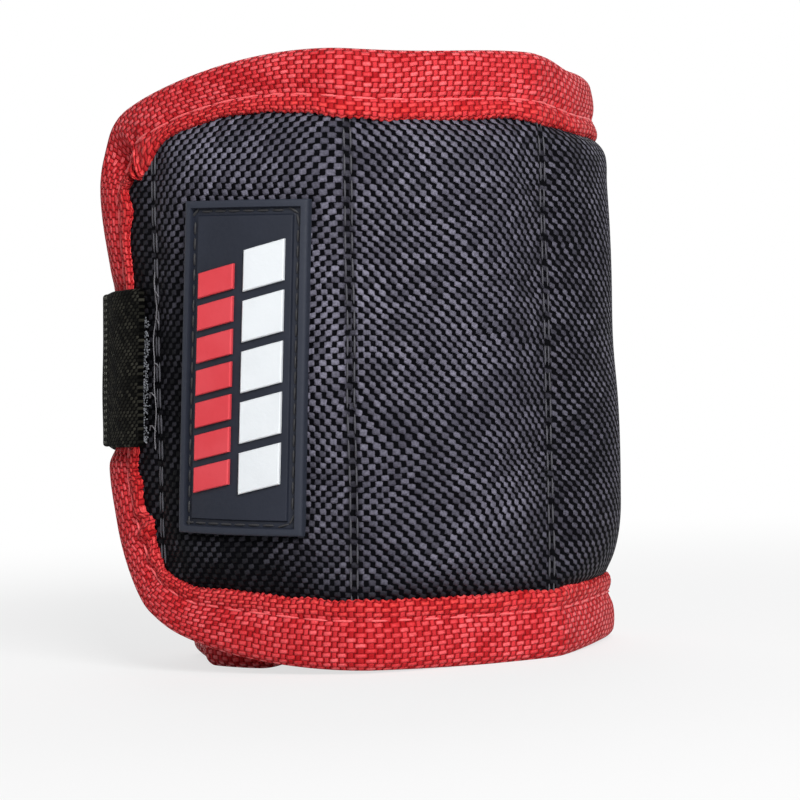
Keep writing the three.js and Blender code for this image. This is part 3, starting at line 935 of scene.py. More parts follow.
WEAVE = ballistic_weave()
TAPE = edge_tape_weave()
WEBBING = ribbed_webbing()
MESH = air_mesh()
LOOP = hook_and_loop("loop tape pile", paint(14, 14, 15), paint(52, 52, 54), pitch=1.3, depth=0.5)
HOOK = hook_and_loop("hook tape face", paint(8, 8, 8), paint(34, 34, 33), pitch=1.5, depth=0.4)
RUBBER = rubber("moulded rubber", paint(27, 31, 42), paint(35, 39, 51), rim=paint(40, 44, 55))
RED_RUBBER = rubber("red rubber", paint(212, 64, 72), paint(220, 80, 88))
WHITE_RUBBER = rubber("white rubber", paint(222, 226, 229), paint(211, 215, 218))
BLACK_THREAD = spun_thread("black thread", paint(16, 16, 18), paint(44, 43, 48))
DIM_THREAD = spun_thread("dim thread", paint(36, 35, 41), paint(72, 71, 80))
GREY_THREAD = spun_thread("grey thread", paint(84, 82, 86), paint(132, 130, 136))
GLINT_THREAD = spun_thread("strap edge thread", paint(56, 56, 49), paint(104, 104, 94))
FIBRE = spun_thread("loose fibre", paint(58, 60, 66), paint(150, 153, 160))
RED_THREAD = spun_thread("red thread", paint(214, 62, 66), paint(248, 114, 116))
FOAM = foam_cells()
NICKEL = magnet_plate()

# ---------------------------------------------------------------- how pieces join and move

BLEND_REACH = 4.0


def across_seam(piece, index, nodes):
    """The piece that lies over the seam after a section is baked in place, and the nodes that it stands for
    are hidden.
    """
    middle = seam_place(index)
    start, end = place(np.array([middle - BLEND_REACH, middle + BLEND_REACH]), 0.0, 0.0) * MM
    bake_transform(piece)
    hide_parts(*nodes)


def on_body(piece, body, slot, *nodes):
    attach(piece, body)
    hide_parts(*nodes)


def seam_reach(index):
    """From the middle of the section before a seam to the middle of the one after it."""
    start = 0.0 if index == 0 else section_middle(index)
    end = BAND_LENGTH if index == 7 else section_middle(index + 1)
    return start, end


def short_names(index):
    """Names, without the word panel, of the sections before and after a seam."""
    return [BODIES[at].replace("panel_", "") for at in (index, index + 1)]


# ---------------------------------------------------------------- cover and lining

RIM_INSET = 1.1
RIM_CLEAR = 0.2
LOWER_SLANT = 4.8
LOWER_SLANT_FROM = 16
LOWER_SLANT_SPREAD = 26
LOWER_SLANT_REACH = 20
LOWER_PINCH = 0.8
LOWER_PINCH_DEPTH = 31
LOWER_PINCH_SPREAD = 9.5
COVER_PITCH = 0.6
LINING_PITCH = 1.0
LINING_PAST_PAD = 0.35
TONGUE_START = -0.4
TONGUE_BLEND = 1.2


def lower_slant(s, up):
    """How far the outer end's edge is drawn along the band below the strap."""
    low = LOWER_SLANT * smoothstep((-up - LOWER_SLANT_FROM) / LOWER_SLANT_SPREAD)
    low = low + LOWER_PINCH * bell(up + LOWER_PINCH_DEPTH, LOWER_PINCH_SPREAD)
    return low * (1 - smoothstep(s / LOWER_SLANT_REACH))


def rim_height(s):
    """Height of the cloth's rim inside the fold of the tape, corners included."""
    high = HALF_HEIGHT - edge_drop(s) - RIM_INSET
    radius = CORNER_RADIUS - RIM_INSET
    first = np.clip(s - RIM_INSET, 0.0, radius)
    last = np.clip(BAND_LENGTH - RIM_INSET - s, 0.0, radius)
    near = np.minimum(first, last)
    return high - radius + np.sqrt(np.maximum(radius**2 - (radius - near) ** 2, 0.0))


def cloth_grid(start, end, pitch):
    s = spread(start, end, pitch)
    share = np.linspace(-1, 1, int(2 * HALF_HEIGHT / pitch))
    return s, share[None, :] * rim_height(s)[:, None]


def end_grid(start, end, pitch):
    """The grid of the outer end, cut to the same slant as its edge tape."""
    s, up = cloth_grid(start, end, pitch)
    return s[:, None] + lower_slant(s[:, None], up), up


def cover_back(s, up):
    """The cover's own thickness on the pads, and the whole tongue beyond them."""
    tongue = smoothstep((s - seam_place(6) - TONGUE_START) / TONGUE_BLEND)
    return cover_face(s, up) - CLOTH - tongue * 2 * (LAYER_GAP + CLOTH / 2)


def lining_back(s, up):
    return lining_face(s, up) + CLOTH


def cloth_piece(kind, index, pitch, outer, inner, material):
    """One piece of cover or lining over a seam, from mid-section to mid-section."""
    start, end = seam_reach(index)
    margin = RIM_INSET + RIM_CLEAR
    grid = cloth_grid if index else end_grid
    s, up = grid(max(start, margin), min(end, BAND_LENGTH - margin), pitch)
    before, after = short_names(index)
    piece = shell(f"{kind}_{before}_to_{after}", s, up, outer, inner, material)
    across_seam(piece, index, [f"{kind}_{before}", f"{kind}_{after}"])


def make_covers():
    for index in range(8):
        cloth_piece("cover", index, COVER_PITCH, cover_face, cover_back, WEAVE)


def make_linings():
    for index in range(6):
        cloth_piece("lining", index, LINING_PITCH, lining_back, lining_face, MESH)
    s, up = cloth_grid(section_middle(6), section_end(6) + LINING_PAST_PAD, LINING_PITCH)
    piece = shell("lining_6_end", s, up, lining_back, lining_face, MESH)
    on_body(piece, "panel_6", "air_mesh", "lining_6")


# ---------------------------------------------------------------- edge tape

TAPE_PITCH = 0.3
TAPE_BASE = 1.2
TAPE_SWELL = 0.75
TAPE_LIP = 0.6
TAPE_FOLD = 1.7
TAPE_WRAP = 1.2
TAPE_BLUNTNESS = 0.6
SWELL_HELD_DOWN = 0.75
SWELL_WANDER = 0.12
SWELL_WANDER_LENGTH = 13.0
GROOVE_WIDTH = 1.5
GROOVE_DEPTH = 0.2
STITCH_BITE = 0.22
SCALLOP_PITCH = 1.27
SCALLOP = 0.16
SCALLOP_REACH = 1.4
BULGE_REACH = 3.2
DIMPLE_DEPTH = 5.5
DIMPLE_SPREAD = 2.6
CLOTH_ROOM = 0.02
OUTER_ROWS = 34
INNER_ROWS = 12
STRAP_PINCH = 0.5
STRAP_PINCH_SPREAD = 4.5
STRAP_PULL_SPREAD = 4.0
STRAP_PULL_TO = 8
STRAP_PINCH_TO = 4
TAPE_SHARP = 70.0
EDGE_PITCH = 0.5
CORNER_STEPS = 60
EDGE_WANDER = 0.3
EDGE_WANDER_LENGTH = 31.0
STEADY_BEFORE = 12
STEADY_REACH = 10
PLEAT = 0.5
PLEAT_PITCH = 5.6
PLEAT_FROM_END = 5.0
PLEAT_REACH = 9.0
PLEAT_HEIGHT = 24.0
PLEAT_RISE = 5.0
PLEAT_UNEVENNESS = 0.5
PLEAT_DEPTH = 2.5
PLEAT_DEEPENS_OVER = 6.0
DIMPLE = 0.9
DIMPLE_PLACE = (3.0, 38.0)
DIMPLE_REACH = 4.4
CORNER_PLACE = (4.5, 38.0)
CORNER_SPREAD = 9.0
WAVER = 0.2
WAVER_AT_CORNERS = 0.5
WAVER_LENGTH = 9.5
DEEPER_TO = 9
# where the inner edge of the outer end's tape lies deeper: height, depth and spread
DEEPER_TAPE = ((25, 1.2, 2.2), (41, 3.5, 5.6), (-32.5, 1.7, 3.0), (-23.5, 0.9, 2.2))


def tape_front(e, run, pull):
    """How far the tape's face stands out at a depth from its fold, by the distance run along it."""
    body = np.clip(e / TAPE_GROOVE, 0, 1)
    lip = np.clip((e - TAPE_GROOVE) / (TAPE_DEPTH - TAPE_GROOVE), 0, 1)
    stitch = 0.5 + 0.5 * np.cos(2 * math.pi * run / TAPE_STITCH_PITCH)
    swell = TAPE_SWELL * np.sin(math.pi * body) ** TAPE_BLUNTNESS * (1 - SWELL_HELD_DOWN * pull)
    swell = swell * (1 + SWELL_WANDER * waves(run, e * 0.5, SWELL_WANDER_LENGTH, 11))
    raised = TAPE_LIP * np.sin(math.pi * lip) ** TAPE_BLUNTNESS
    groove = bell(e - TAPE_GROOVE, GROOVE_WIDTH) * (GROOVE_DEPTH + STITCH_BITE * stitch)
    rounding = np.clip(e / TAPE_FOLD, 0, 1)
    return (TAPE_BASE + swell + raised - groove) * np.sqrt(rounding * (2 - rounding))


def tape_ring(run, pull, pleat, dimple, bulge):
    """Depths, ways out and cloth lengths round the tape's cross-section at each station."""
    run, pull, pleat, dimple, bulge = (value[:, None] for value in (run, pull, pleat, dimple, bulge))

    def reached(depth):
        near = smoothstep((depth - TAPE_DEPTH + BULGE_REACH) / BULGE_REACH)
        lip = smoothstep((depth - TAPE_DEPTH + SCALLOP_REACH) / SCALLOP_REACH)
        return depth + near * (bulge + lip * (SCALLOP * np.cos(2 * math.pi * run / SCALLOP_PITCH)))

    def raised(depth):
        gathers = pleat * np.clip((depth - PLEAT_DEPTH) / PLEAT_DEEPENS_OVER, 0, 1)
        return tape_front(depth, run, pull) + gathers - dimple * bell(depth - DIMPLE_DEPTH, DIMPLE_SPREAD)

    fold = OUTER_ROWS - 1
    shaped = TAPE_DEPTH * (1 - np.cos(np.linspace(0, math.pi / 2, OUTER_ROWS)))
    depth = np.concatenate([shaped[:0:-1], shaped])
    side = np.concatenate([np.ones(fold), [0.0], -np.ones(fold)])
    back = np.linspace(TAPE_DEPTH, TAPE_THICKNESS, INNER_ROWS)
    back = np.concatenate([back, back[::-1]])
    back_side = np.repeat([-1.0, 1.0], INNER_ROWS)
    room = np.maximum(raised(back) - TAPE_THICKNESS, LAYER_GAP + CLOTH + CLOTH_ROOM)
    e = np.concatenate([reached(depth), reached(back)], axis=1)
    out = np.concatenate([side * raised(depth), back_side * room], axis=1)
    front = slice(0, len(depth))
    steps = np.hypot(np.diff(e[:, front].mean(0)), np.diff(out[:, front].mean(0)))
    round_fold = np.concatenate([[0], np.cumsum(steps)])
    length = np.concatenate([round_fold[fold] - round_fold, back_side * (back + TAPE_WRAP)])
    return e, out, np.broadcast_to(length, e.shape)


def resample(points, pitch):
    """Even stations along a path of distances and heights, with the way ahead at each."""
    run = run_along(points)
    even = np.linspace(0, run[-1], max(8, int(round(run[-1] / pitch))) + 1)
    path = at_run(even, run, points)
    ahead = np.gradient(path, axis=0)
    ahead /= np.hypot(*ahead.T)[:, None]
    return path, ahead, even


def edge_way(points, inward_left, run_start, run_way, pitch):
    """Stations along an edge as sewn: where the fold lies, the way in from it, and the tape's length."""
    path, ahead, run = resample(points, pitch)
    run = run_start + run_way * run
    turn = 1 if inward_left else -1
    inward = np.stack([-ahead[:, 1] * turn, ahead[:, 0] * turn], axis=1)
    inner_end = smoothstep((path[:, 0] - section_middle(7) + STEADY_BEFORE) / STEADY_REACH)
    steady = 1 - inner_end * (path[:, 1] < 0)
    aside = EDGE_WANDER * wander(run, EDGE_WANDER_LENGTH, 17) * steady
    return path + inward * aside[:, None], inward, run


def sewn_tape(name, points, inward_left, run_start, run_way, pull_at, pleat_at):
    path, inward, run = edge_way(points, inward_left, run_start, run_way, TAPE_PITCH)
    forms = pull_at(path), pleat_at(path, run), corner_dimple(path), edge_bulge(path, run)
    e, out, across = tape_ring(run, *forms)
    e = e * tape_shown(*path.T)[:, None]
    s, up = (path[:, axis, None] + e * inward[:, axis, None] for axis in (0, 1))
    uv = np.stack([np.broadcast_to(run[:, None], e.shape), across], axis=-1)
    return tube(name, place(s, up, out), uv, TAPE, TAPE_SHARP)


def nothing(path, run=None):
    return np.zeros(len(path))


def straight_edge(side, start, end):
    s = spread(start, end, EDGE_PITCH)
    return np.stack([s, side * (HALF_HEIGHT - edge_drop(s))], axis=1)


def end_outline(far):
    """The edge of an end, from the top of the nearest mid-section round to the bottom."""
    slope = 0.0 if far else math.atan(2 * TAPER_DROP / (TAPER_REACH - TAPER_START))
    end = BAND_LENGTH if far else 0.0
    inwards = -1 if far else 1
    turn = np.linspace(slope, math.pi / 2, CORNER_STEPS)
    first = end + inwards * CORNER_RADIUS * (1 - math.sin(slope))
    edge = HALF_HEIGHT - (0.0 if far else float(edge_drop(np.array(first))))
    centre = edge - CORNER_RADIUS * math.cos(slope)
    beside = end + inwards * CORNER_RADIUS * (1 - np.sin(turn))
    corner = np.stack([beside, centre + CORNER_RADIUS * np.cos(turn)], axis=1)
    top = straight_edge(1, section_middle(7 if far else 1), first)[:-1]
    flat = spread(centre, -centre, EDGE_PITCH)[1:-1]
    side = np.stack([np.full(len(flat), end), flat], axis=1)
    lower = np.concatenate([top, corner])[::-1] * (1, -1)
    return np.concatenate([top, corner, side, lower])


def past_strap(up):
    """Distance above or below the strap's edges, less than nought between them."""
    return abs(up - STRAP_MID) - STRAP_WIDTH / 2


def strap_pull(path):
    """One where the strap holds the outer end's tape down, nought elsewhere."""
    return (1 - smoothstep(past_strap(path[:, 1]) / STRAP_PULL_SPREAD)) * (path[:, 0] < STRAP_PULL_TO)


def corner_pleats(path, run):
    """Small gathers where the tape turns a corner."""
    near_first = np.clip(1 - abs(path[:, 0] - PLEAT_FROM_END) / PLEAT_REACH, 0, 1)
    near_last = np.clip(1 - abs(BAND_LENGTH - PLEAT_FROM_END - path[:, 0]) / PLEAT_REACH, 0, 1)
    high = smoothstep((abs(path[:, 1]) - PLEAT_HEIGHT) / PLEAT_RISE)
    uneven = 1 + PLEAT_UNEVENNESS * wander(run, 12.0, 67)
    return PLEAT * (near_first + near_last) * high * uneven * np.sin(2 * math.pi * run / PLEAT_PITCH)


def corner_dimple(path):
    """The tape sinks where it is turned round the outer end's upper corner."""
    return DIMPLE * bell(np.hypot(*(path - DIMPLE_PLACE).T), DIMPLE_REACH)


def edge_bulge(path, run):
    """The inner edge of the tape wanders, most at the corners of the outer end."""
    corners = bell(np.hypot(path[:, 0] - CORNER_PLACE[0], abs(path[:, 1]) - CORNER_PLACE[1]), CORNER_SPREAD)
    deeper = sum(depth * bell(path[:, 1] - height, reach) for height, depth, reach in DEEPER_TAPE)
    side = 1 - smoothstep((path[:, 0] - DEEPER_TO) / DEEPER_TO)
    return (WAVER + WAVER_AT_CORNERS * corners) * wander(run, WAVER_LENGTH, 61) + deeper * side


def outer_outline():
    """The outer end's edge, pinched where the strap is sewn over it and slanted below."""
    outline = end_outline(False)
    beside = past_strap(outline[:, 1])
    pinch = STRAP_PINCH * np.maximum(bell(beside, STRAP_PINCH_SPREAD), beside < 0)
    outline[:, 0] += pinch * (outline[:, 0] < STRAP_PINCH_TO)
    outline[:, 0] += lower_slant(*outline.T)
    return outline


FIRST_JOIN = section_middle(1)
LOWER_RUN = 2 * FIRST_JOIN - float(np.hypot(*np.diff(outer_outline(), axis=0).T).sum())


def tape_runs():
    """Every length of edge tape: its seam, name, outline, side of its way in, and its own length there."""
    yield 0, "outer_end_round", outer_outline(), True, FIRST_JOIN, -1
    for side, word in ((1, "top"), (-1, "bottom")):
        for index in PANELS:
            start, end = seam_reach(index)
            before, after = short_names(index)
            run = start if side > 0 else LOWER_RUN - start
            yield index, f"{word}_{before}_to_{after}", straight_edge(side, start, end), side < 0, run, side
    yield 7, "inner_end_round", end_outline(True), False, section_middle(7), 1


def tape_nodes(index, name):
    """The solids that a length of edge tape stands for."""
    if index == 0:
        return ["edge_tape_outer_end", "edge_tape_top_1", "edge_tape_bottom_1"]
    if index == 7:
        return ["edge_tape_inner_end", "edge_tape_top_7", "edge_tape_bottom_7"]
    return [f"edge_tape_{name.split('_')[0]}_{at}" for at in (index, index + 1)]


def make_tapes():
    for index, name, outline, inward_left, run, way in tape_runs():
        pull = strap_pull if index == 0 else nothing
        pleat = corner_pleats if index in (0, 7) else nothing
        piece = sewn_tape(f"edge_tape_{name}", outline, inward_left, run, way, pull, pleat)
        across_seam(piece, index, tape_nodes(index, name))


# ---------------------------------------------------------------- thread


def stitch_tree():
    """A line of stitches along each path, one stitch a pitch, lying on the face that the path names."""
    tree = bpy.data.node_groups.new("stitches along a path", "GeometryNodeTree")
    sockets = {}
    for word, kind in (
        ("Geometry", "Geometry"), ("Pitch", "Float"), ("Stitch Length", "Float"),
        ("Thread Radius", "Float"), ("Thread", "Material"),
    ):
        socket = tree.interface.new_socket(word, in_out="INPUT", socket_type=f"NodeSocket{kind}")
        sockets[word] = socket.identifier
    tree.interface.new_socket("Geometry", in_out="OUTPUT", socket_type="NodeSocketGeometry")
    node = {word: tree.nodes.new(kind) for word, kind in (
        ("given", "NodeGroupInput"), ("result", "NodeGroupOutput"), ("curve", "GeometryNodeMeshToCurve"),
        ("even", "GeometryNodeResampleCurve"), ("ahead", "GeometryNodeInputTangent"),
        ("face", "GeometryNodeInputNamedAttribute"), ("along", "FunctionNodeAlignRotationToVector"),
        ("upright", "FunctionNodeAlignRotationToVector"), ("ball", "GeometryNodeMeshUVSphere"),
        ("half", "ShaderNodeMath"), ("size", "ShaderNodeCombineXYZ"), ("turned", "GeometryNodeTransform"),
        ("copies", "GeometryNodeInstanceOnPoints"), ("real", "GeometryNodeRealizeInstances"),
        ("smooth", "GeometryNodeSetShadeSmooth"), ("coloured", "GeometryNodeSetMaterial"),
    )}
    for word, setting, value in (
        ("even", "mode", "LENGTH"), ("face", "data_type", "FLOAT_VECTOR"), ("along", "axis", "X"),
        ("upright", "axis", "Z"), ("upright", "pivot_axis", "X"), ("half", "operation", "MULTIPLY"),
    ):
        setattr(node[word], setting, value)
    for word, socket, value in (
        ("face", "Name", "face_way"), ("ball", "Segments", 6), ("ball", "Rings", 6), ("ball", "Radius", 1.0),
        ("half", 1, 0.5), ("turned", "Rotation", (0, math.pi / 2, 0)),
    ):
        node[word].inputs[socket].default_value = value
    for start, given, end, taken in (
        ("given", "Geometry", "curve", "Mesh"), ("curve", "Curve", "even", "Curve"),
        ("given", "Pitch", "even", "Length"), ("even", "Curve", "copies", "Points"),
        ("ahead", 0, "along", "Vector"), ("along", 0, "upright", "Rotation"),
        ("face", "Attribute", "upright", "Vector"), ("upright", 0, "copies", "Rotation"),
        ("given", "Stitch Length", "half", 0), ("half", 0, "size", 0),
        ("given", "Thread Radius", "size", 1), ("given", "Thread Radius", "size", 2),
        ("ball", "Mesh", "turned", "Geometry"), ("turned", 0, "copies", "Instance"),
        ("size", 0, "copies", "Scale"), ("copies", "Instances", "real", 0), ("real", 0, "smooth", 0),
        ("smooth", 0, "coloured", "Geometry"), ("given", "Thread", "coloured", "Material"),
        ("coloured", 0, "result", 0),
    ):
        tree.links.new(node[start].outputs[given], node[end].inputs[taken])
    return tree, sockets


STITCHES, STITCH_SOCKETS = stitch_tree()


def stitch_line(paths, stitch, thread):
    """A plain mesh of stitches along paths, each given as points and the ways that its face looks."""
    edges = []
    start = 0
    for line, _ in paths:
        edges += [(start + i, start + i + 1) for i in range(len(line) - 1)]
        start += len(line)
    mesh = new_mesh("thread path", np.concatenate([points for points, _ in paths]) * MM, [], edges)
    attribute = mesh.attributes.new("face_way", "FLOAT_VECTOR", "POINT")
    ways = np.concatenate([way for _, way in paths])
    attribute.data.foreach_set("vector", ways.astype(np.float32).ravel())
    carrier = add_object("thread path", mesh)
    modifier = carrier.modifiers.new("stitches", "NODES")
    modifier.node_group = STITCHES
    for word, value in zip(("Pitch", "Stitch Length", "Thread Radius"), stitch):
        modifier[STITCH_SOCKETS[word]] = value * MM
    modifier[STITCH_SOCKETS["Thread"]] = thread
    shown = carrier.evaluated_get(bpy.context.evaluated_depsgraph_get())
    made = bpy.data.meshes.new_from_object(shown)
    bpy.data.objects.remove(carrier)
    return made


def thread_piece(name, lines):
    """One piece from several sets of paths, each with its own stitch and thread."""
    vertices, faces, materials, slots = [], [], [], []
    for paths, stitch, thread in lines:
        mesh = stitch_line(paths, stitch, thread)
        start = len(vertices)
        vertices += vertex_places(mesh).tolist()
        faces += [[start + n for n in p.vertices] for p in mesh.polygons]
        if thread not in materials:
            materials.append(thread)
        slots += [materials.index(thread)] * len(mesh.polygons)
        bpy.data.meshes.remove(mesh)
    mesh = new_mesh(name, vertices, faces)
    mesh.polygons.foreach_set("use_smooth", np.ones(len(faces), bool))
    for material in materials:
        mesh.materials.append(material)
    mesh.polygons.foreach_set("material_index", slots)
    mesh.update()
    return add_object(name, mesh)


def face_line(s, up, out, side=1):
    """Points of a line on the band, and the way that its face looks at each."""
    points = place(s, up, out)
    return points, place(s, up, out + side) - points


# pitch, length and radius of the stitches of each thread
TAPE_STITCH = (TAPE_STITCH_PITCH, TAPE_STITCH_PITCH * 0.98, 0.24)
CHANNEL_STITCH = (4.2, 3.4, 0.19)
LINING_STITCH = (2.6, 2.2, 0.16)
PATCH_STITCH = (2.5, 2.05, 0.22)
STRAP_STITCH = (1.05, 0.55, 0.11)
FRAY_STITCH = (0.42, 0.40, 0.13)
LOOSE_STITCH = (0.5, 0.8, 0.11)
TAPE_THREAD_PITCH = 1.1
TAPE_THREAD_RISE = 0.12
CHANNEL_THREAD_ASIDE = 0.48
CHANNEL_THREAD_RISE = 0.1
CHANNEL_UNDER_TAPE = 0.8
CHANNEL_WANDER = 0.12
CHANNEL_WANDER_LENGTH = 17.0


def edge_path(outline, inward_left, depth, run_start, run_way, side):
    """A line of thread along the edge tape, on one of its faces."""
    path, inward, run = edge_way(outline, inward_left, run_start, run_way, TAPE_THREAD_PITCH)
    pull = strap_pull(path) if outline[0, 0] < 60 else nothing(path)
    spot = path + inward * depth * tape_shown(*path.T)[:, None]
    out = side * (tape_front(np.full(len(run), depth), run, pull) + TAPE_THREAD_RISE)
    return face_line(*spot.T, out, side)


def channel_paths(index, side):
    """Two lines of thread along a sewn channel."""
    middle = seam_place(index)
    low, high = (float(cloth_edge(middle, end)) + CHANNEL_UNDER_TAPE for end in (-1, 1))
    up = spread(-low, high, 1.0)
    face = cover_face if side > 0 else lining_face
    paths = []
    for offset in (-CHANNEL_THREAD_ASIDE, CHANNEL_THREAD_ASIDE):
        s = middle + offset + CHANNEL_WANDER * wander(up, CHANNEL_WANDER_LENGTH, 23 + index)
        paths.append(face_line(s, up, face(s, up) + side * CHANNEL_THREAD_RISE, side))
    return paths


def make_threads():
    for index in range(8):
        tape_lines = [
            edge_path(outline, inward_left, TAPE_GROOVE, run, way, side)
            for seam, _, outline, inward_left, run, way in tape_runs() if seam == index
            for side in (1, -1)
        ]
        lines = [(tape_lines, TAPE_STITCH, RED_THREAD)]
        if index < 7:
            lines.append((channel_paths(index, 1), CHANNEL_STITCH, DIM_THREAD))
        if index < 6:
            lines.append((channel_paths(index, -1), LINING_STITCH, BLACK_THREAD))
        before, after = short_names(index)
        across_seam(thread_piece(f"thread_{before}_to_{after}", lines), index, [])


# ---------------------------------------------------------------- foam and magnets

FOAM_SIDE_INSET = 3.5
FOAM_TAPE_INSET = 1.5
FOAM_CLEAR = 0.8
MAGNET_RADIUS = 8.0
MAGNET_THICKNESS = 2.0
MAGNET_SEAT = -0.1
MAGNET_RISE = 20.0
MAGNET_CHAMFER = 0.3
POCKET_CLEAR = 0.3
POCKET_WALL = 0.6
PAST_FACE = 20
FOAM_PITCH = 0.6
FOAM_ROWS = 120
DISC_SIDES = 96
DISC_SHARP = 30.0


def make_foam():
    for index in PANELS:
        s = spread(STARTS[index] + FOAM_SIDE_INSET, section_end(index) - FOAM_SIDE_INSET, FOAM_PITCH)
        high = HALF_HEIGHT - edge_drop(s) - TAPE_DEPTH - FOAM_TAPE_INSET
        up = np.linspace(-1, 1, FOAM_ROWS)[None, :] * high[:, None]

        def outer(a, b, index=index):
            face = cover_face(a, b) - CLOTH - FOAM_CLEAR
            reach = np.hypot(a - section_middle(index), abs(b) - MAGNET_RISE)
            beyond = smoothstep((reach - MAGNET_RADIUS - POCKET_CLEAR) / POCKET_WALL)
            return np.minimum(face, MAGNET_SEAT - POCKET_CLEAR + beyond * PAST_FACE)

        piece = shell(f"foam_pad_{index}", s, up, outer, lambda a, b: lining_back(a, b) + FOAM_CLEAR, FOAM)
        on_body(piece, BODIES[index], "foam", f"foam_{index}")


def unit(way):
    return way / np.linalg.norm(way)


def make_magnets():
    turn = np.linspace(0, 2 * math.pi, DISC_SIDES, endpoint=False)[:, None]
    inner, top = MAGNET_RADIUS - MAGNET_CHAMFER, MAGNET_THICKNESS
    profile = (
        (inner, 0.0), (MAGNET_RADIUS, MAGNET_CHAMFER),
        (MAGNET_RADIUS, top - MAGNET_CHAMFER), (inner, top),
    )
    reach = np.array([MAGNET_RADIUS, -MAGNET_RADIUS])
    for index in PANELS:
        for side, word in ((1, "upper"), (-1, "lower")):
            middle, high = section_middle(index), side * MAGNET_RISE
            centre = place(middle, high, MAGNET_SEAT)
            beside = unit(np.subtract(*place(middle + reach, high, MAGNET_SEAT)))
            upward = np.subtract(*place(middle, high + reach, MAGNET_SEAT))
            outward = unit(np.cross(beside, upward))
            upward = np.cross(outward, beside)
            round_edge = np.cos(turn) * beside + np.sin(turn) * upward
            rings = np.stack([centre + rise * outward + radius * round_edge for radius, rise in profile])
            uv = np.zeros((*rings.shape[:2], 2))
            piece = tube(f"magnet_disc_{index}_{word}", rings, uv, NICKEL, DISC_SHARP)
            on_body(piece, BODIES[index], "magnet", f"magnet_{index}_{word}")


# ---------------------------------------------------------------- closing strap, hook and loop tapes

LOOP_GAP = 0.1
LOOP_THICKNESS = 0.8
LOOP_WIDTH = 32.0
LOOP_INSET = 2.5
HOOK_THICKNESS = 0.7
HOOK_WIDTH = 25.0
STRAP_FACE = LAYER_GAP + CLOTH + COVER_CROWN + 0.6 + LOOP_THICKNESS + HOOK_THICKNESS + 0.3
ROOT_FACE = 2.25
STRAP_PITCH = 0.5
STRAP_COLUMNS = 40
STRAP_EDGE_STEPS = 7
STRAP_SHARP = 50.0
STRAP_RIPPLE = 0.12
STRAP_RIPPLE_LENGTH = 14.0
STRAP_EDGE_WANDER = 0.012
STRAP_EDGE_WANDER_LENGTH = 9.0
LINE_PITCH = 0.4
LINE_EVEN = 0.1
LINE_EASING = 41
ROOT_PAST_END = 0.9
ROOT_SETTLES = 0.6
FOLD_CLEAR = 0.6
FOLD_REACH = 2.5
PEEL_CLEAR = 1.6
HOOK_FROM_TIP = 2.0
HOOK_SINK = 0.05
PILE_DEPTH = 0.06
PILE_LENGTH = 2.2
LOOP_PITCH = 0.6
LOOP_ROWS = 60


def fold_place(name):
    """Where an upright fold stands in plan, in millimetres."""
    spot = next(j for j in frame["joints"] if j["name"] == name)["pos_m"]
    return np.array([spot[0], spot[1]]) / MM


def strap_line():
    """The strap's middle line in plan, from its sewn root to its tip, with each fold's distance along it."""
    half = STRAP_THICKNESS / 2

    def laid(start, end, up, face):
        return place(spread(start, end, LINE_PITCH), up, face + half)[:, :2]

    root = laid(STRAP_ROOT_LENGTH, STRAP_PINCH + FOLD_CLEAR, STRAP_MID, ROOT_FACE)
    side = laid(section_end(6) - FOLD_CLEAR, STARTS[6] + LINE_PITCH, 0.0, STRAP_FACE)
    tip = laid(section_end(5) - LINE_PITCH, section_end(5) - STRAP_TIP_LENGTH, 0.0, STRAP_FACE)
    folds = [place(STRAP_PINCH - ROOT_PAST_END, STRAP_MID, ROOT_FACE + half - ROOT_SETTLES)[:2]]
    folds += [fold_place(name) for name in ("strap_side_bend", "strap_tip_peel")]
    plan = np.concatenate([root, folds[:2], side, folds[2:], tip])
    run = run_along(plan)
    even = np.arange(0, run[-1], LINE_EVEN)
    line = at_run(even, run, plan)
    easing = np.hanning(LINE_EASING)
    easing /= easing.sum()
    spare = len(easing) // 2
    head = line[0] + (line[0] - line[1]) * np.arange(spare, 0, -1)[:, None]
    tail = line[-1] + (line[-1] - line[-2]) * np.arange(1, spare + 1)[:, None]
    longer = np.concatenate([head, line, tail])
    line = np.stack([np.convolve(longer[:, axis], easing, mode="valid") for axis in (0, 1)], axis=1)
    marks = [even[np.argmin(np.hypot(*(line - fold).T))] for fold in folds]
    return even, line, marks


STRAP_RUN, STRAP_PLAN, STRAP_FOLDS = strap_line()
ROOT_RUN = STRAP_FOLDS[0]
LIFT_GONE_AFTER = 25.0
LEAN_GONE_AFTER = 20.0


def strap_spot(run):
    """Plan points of the strap's middle line, the way its outer face looks, and its height there."""
    plan = at_run(run, STRAP_RUN, STRAP_PLAN)
    ahead = at_run(run + 0.5, STRAP_RUN, STRAP_PLAN) - at_run(run - 0.5, STRAP_RUN, STRAP_PLAN)
    ahead /= np.maximum(np.hypot(ahead[..., 0], ahead[..., 1]), 1e-9)[..., None]
    outward = np.stack([-ahead[..., 1], ahead[..., 0]], axis=-1)
    height = HALF_HEIGHT + STRAP_MID + LIFT_HEIGHT * (1 - smoothstep((run - ROOT_RUN) / LIFT_GONE_AFTER))
    return plan, outward, height


def strap_section(width, thickness):
    """A flat band's outline with round edges: ways across and out."""
    half, edge = width / 2, thickness / 2
    flat = np.linspace(-half + edge, half - edge, STRAP_COLUMNS)
    turn = np.linspace(0, math.pi, STRAP_EDGE_STEPS)[1:-1]
    bulge = half - edge + edge * np.sin(turn)
    across = np.concatenate([flat, bulge, flat[::-1], -bulge])
    straight = np.full(len(flat), edge)
    return across, np.concatenate([straight, edge * np.cos(turn), -straight, -edge * np.cos(turn)])


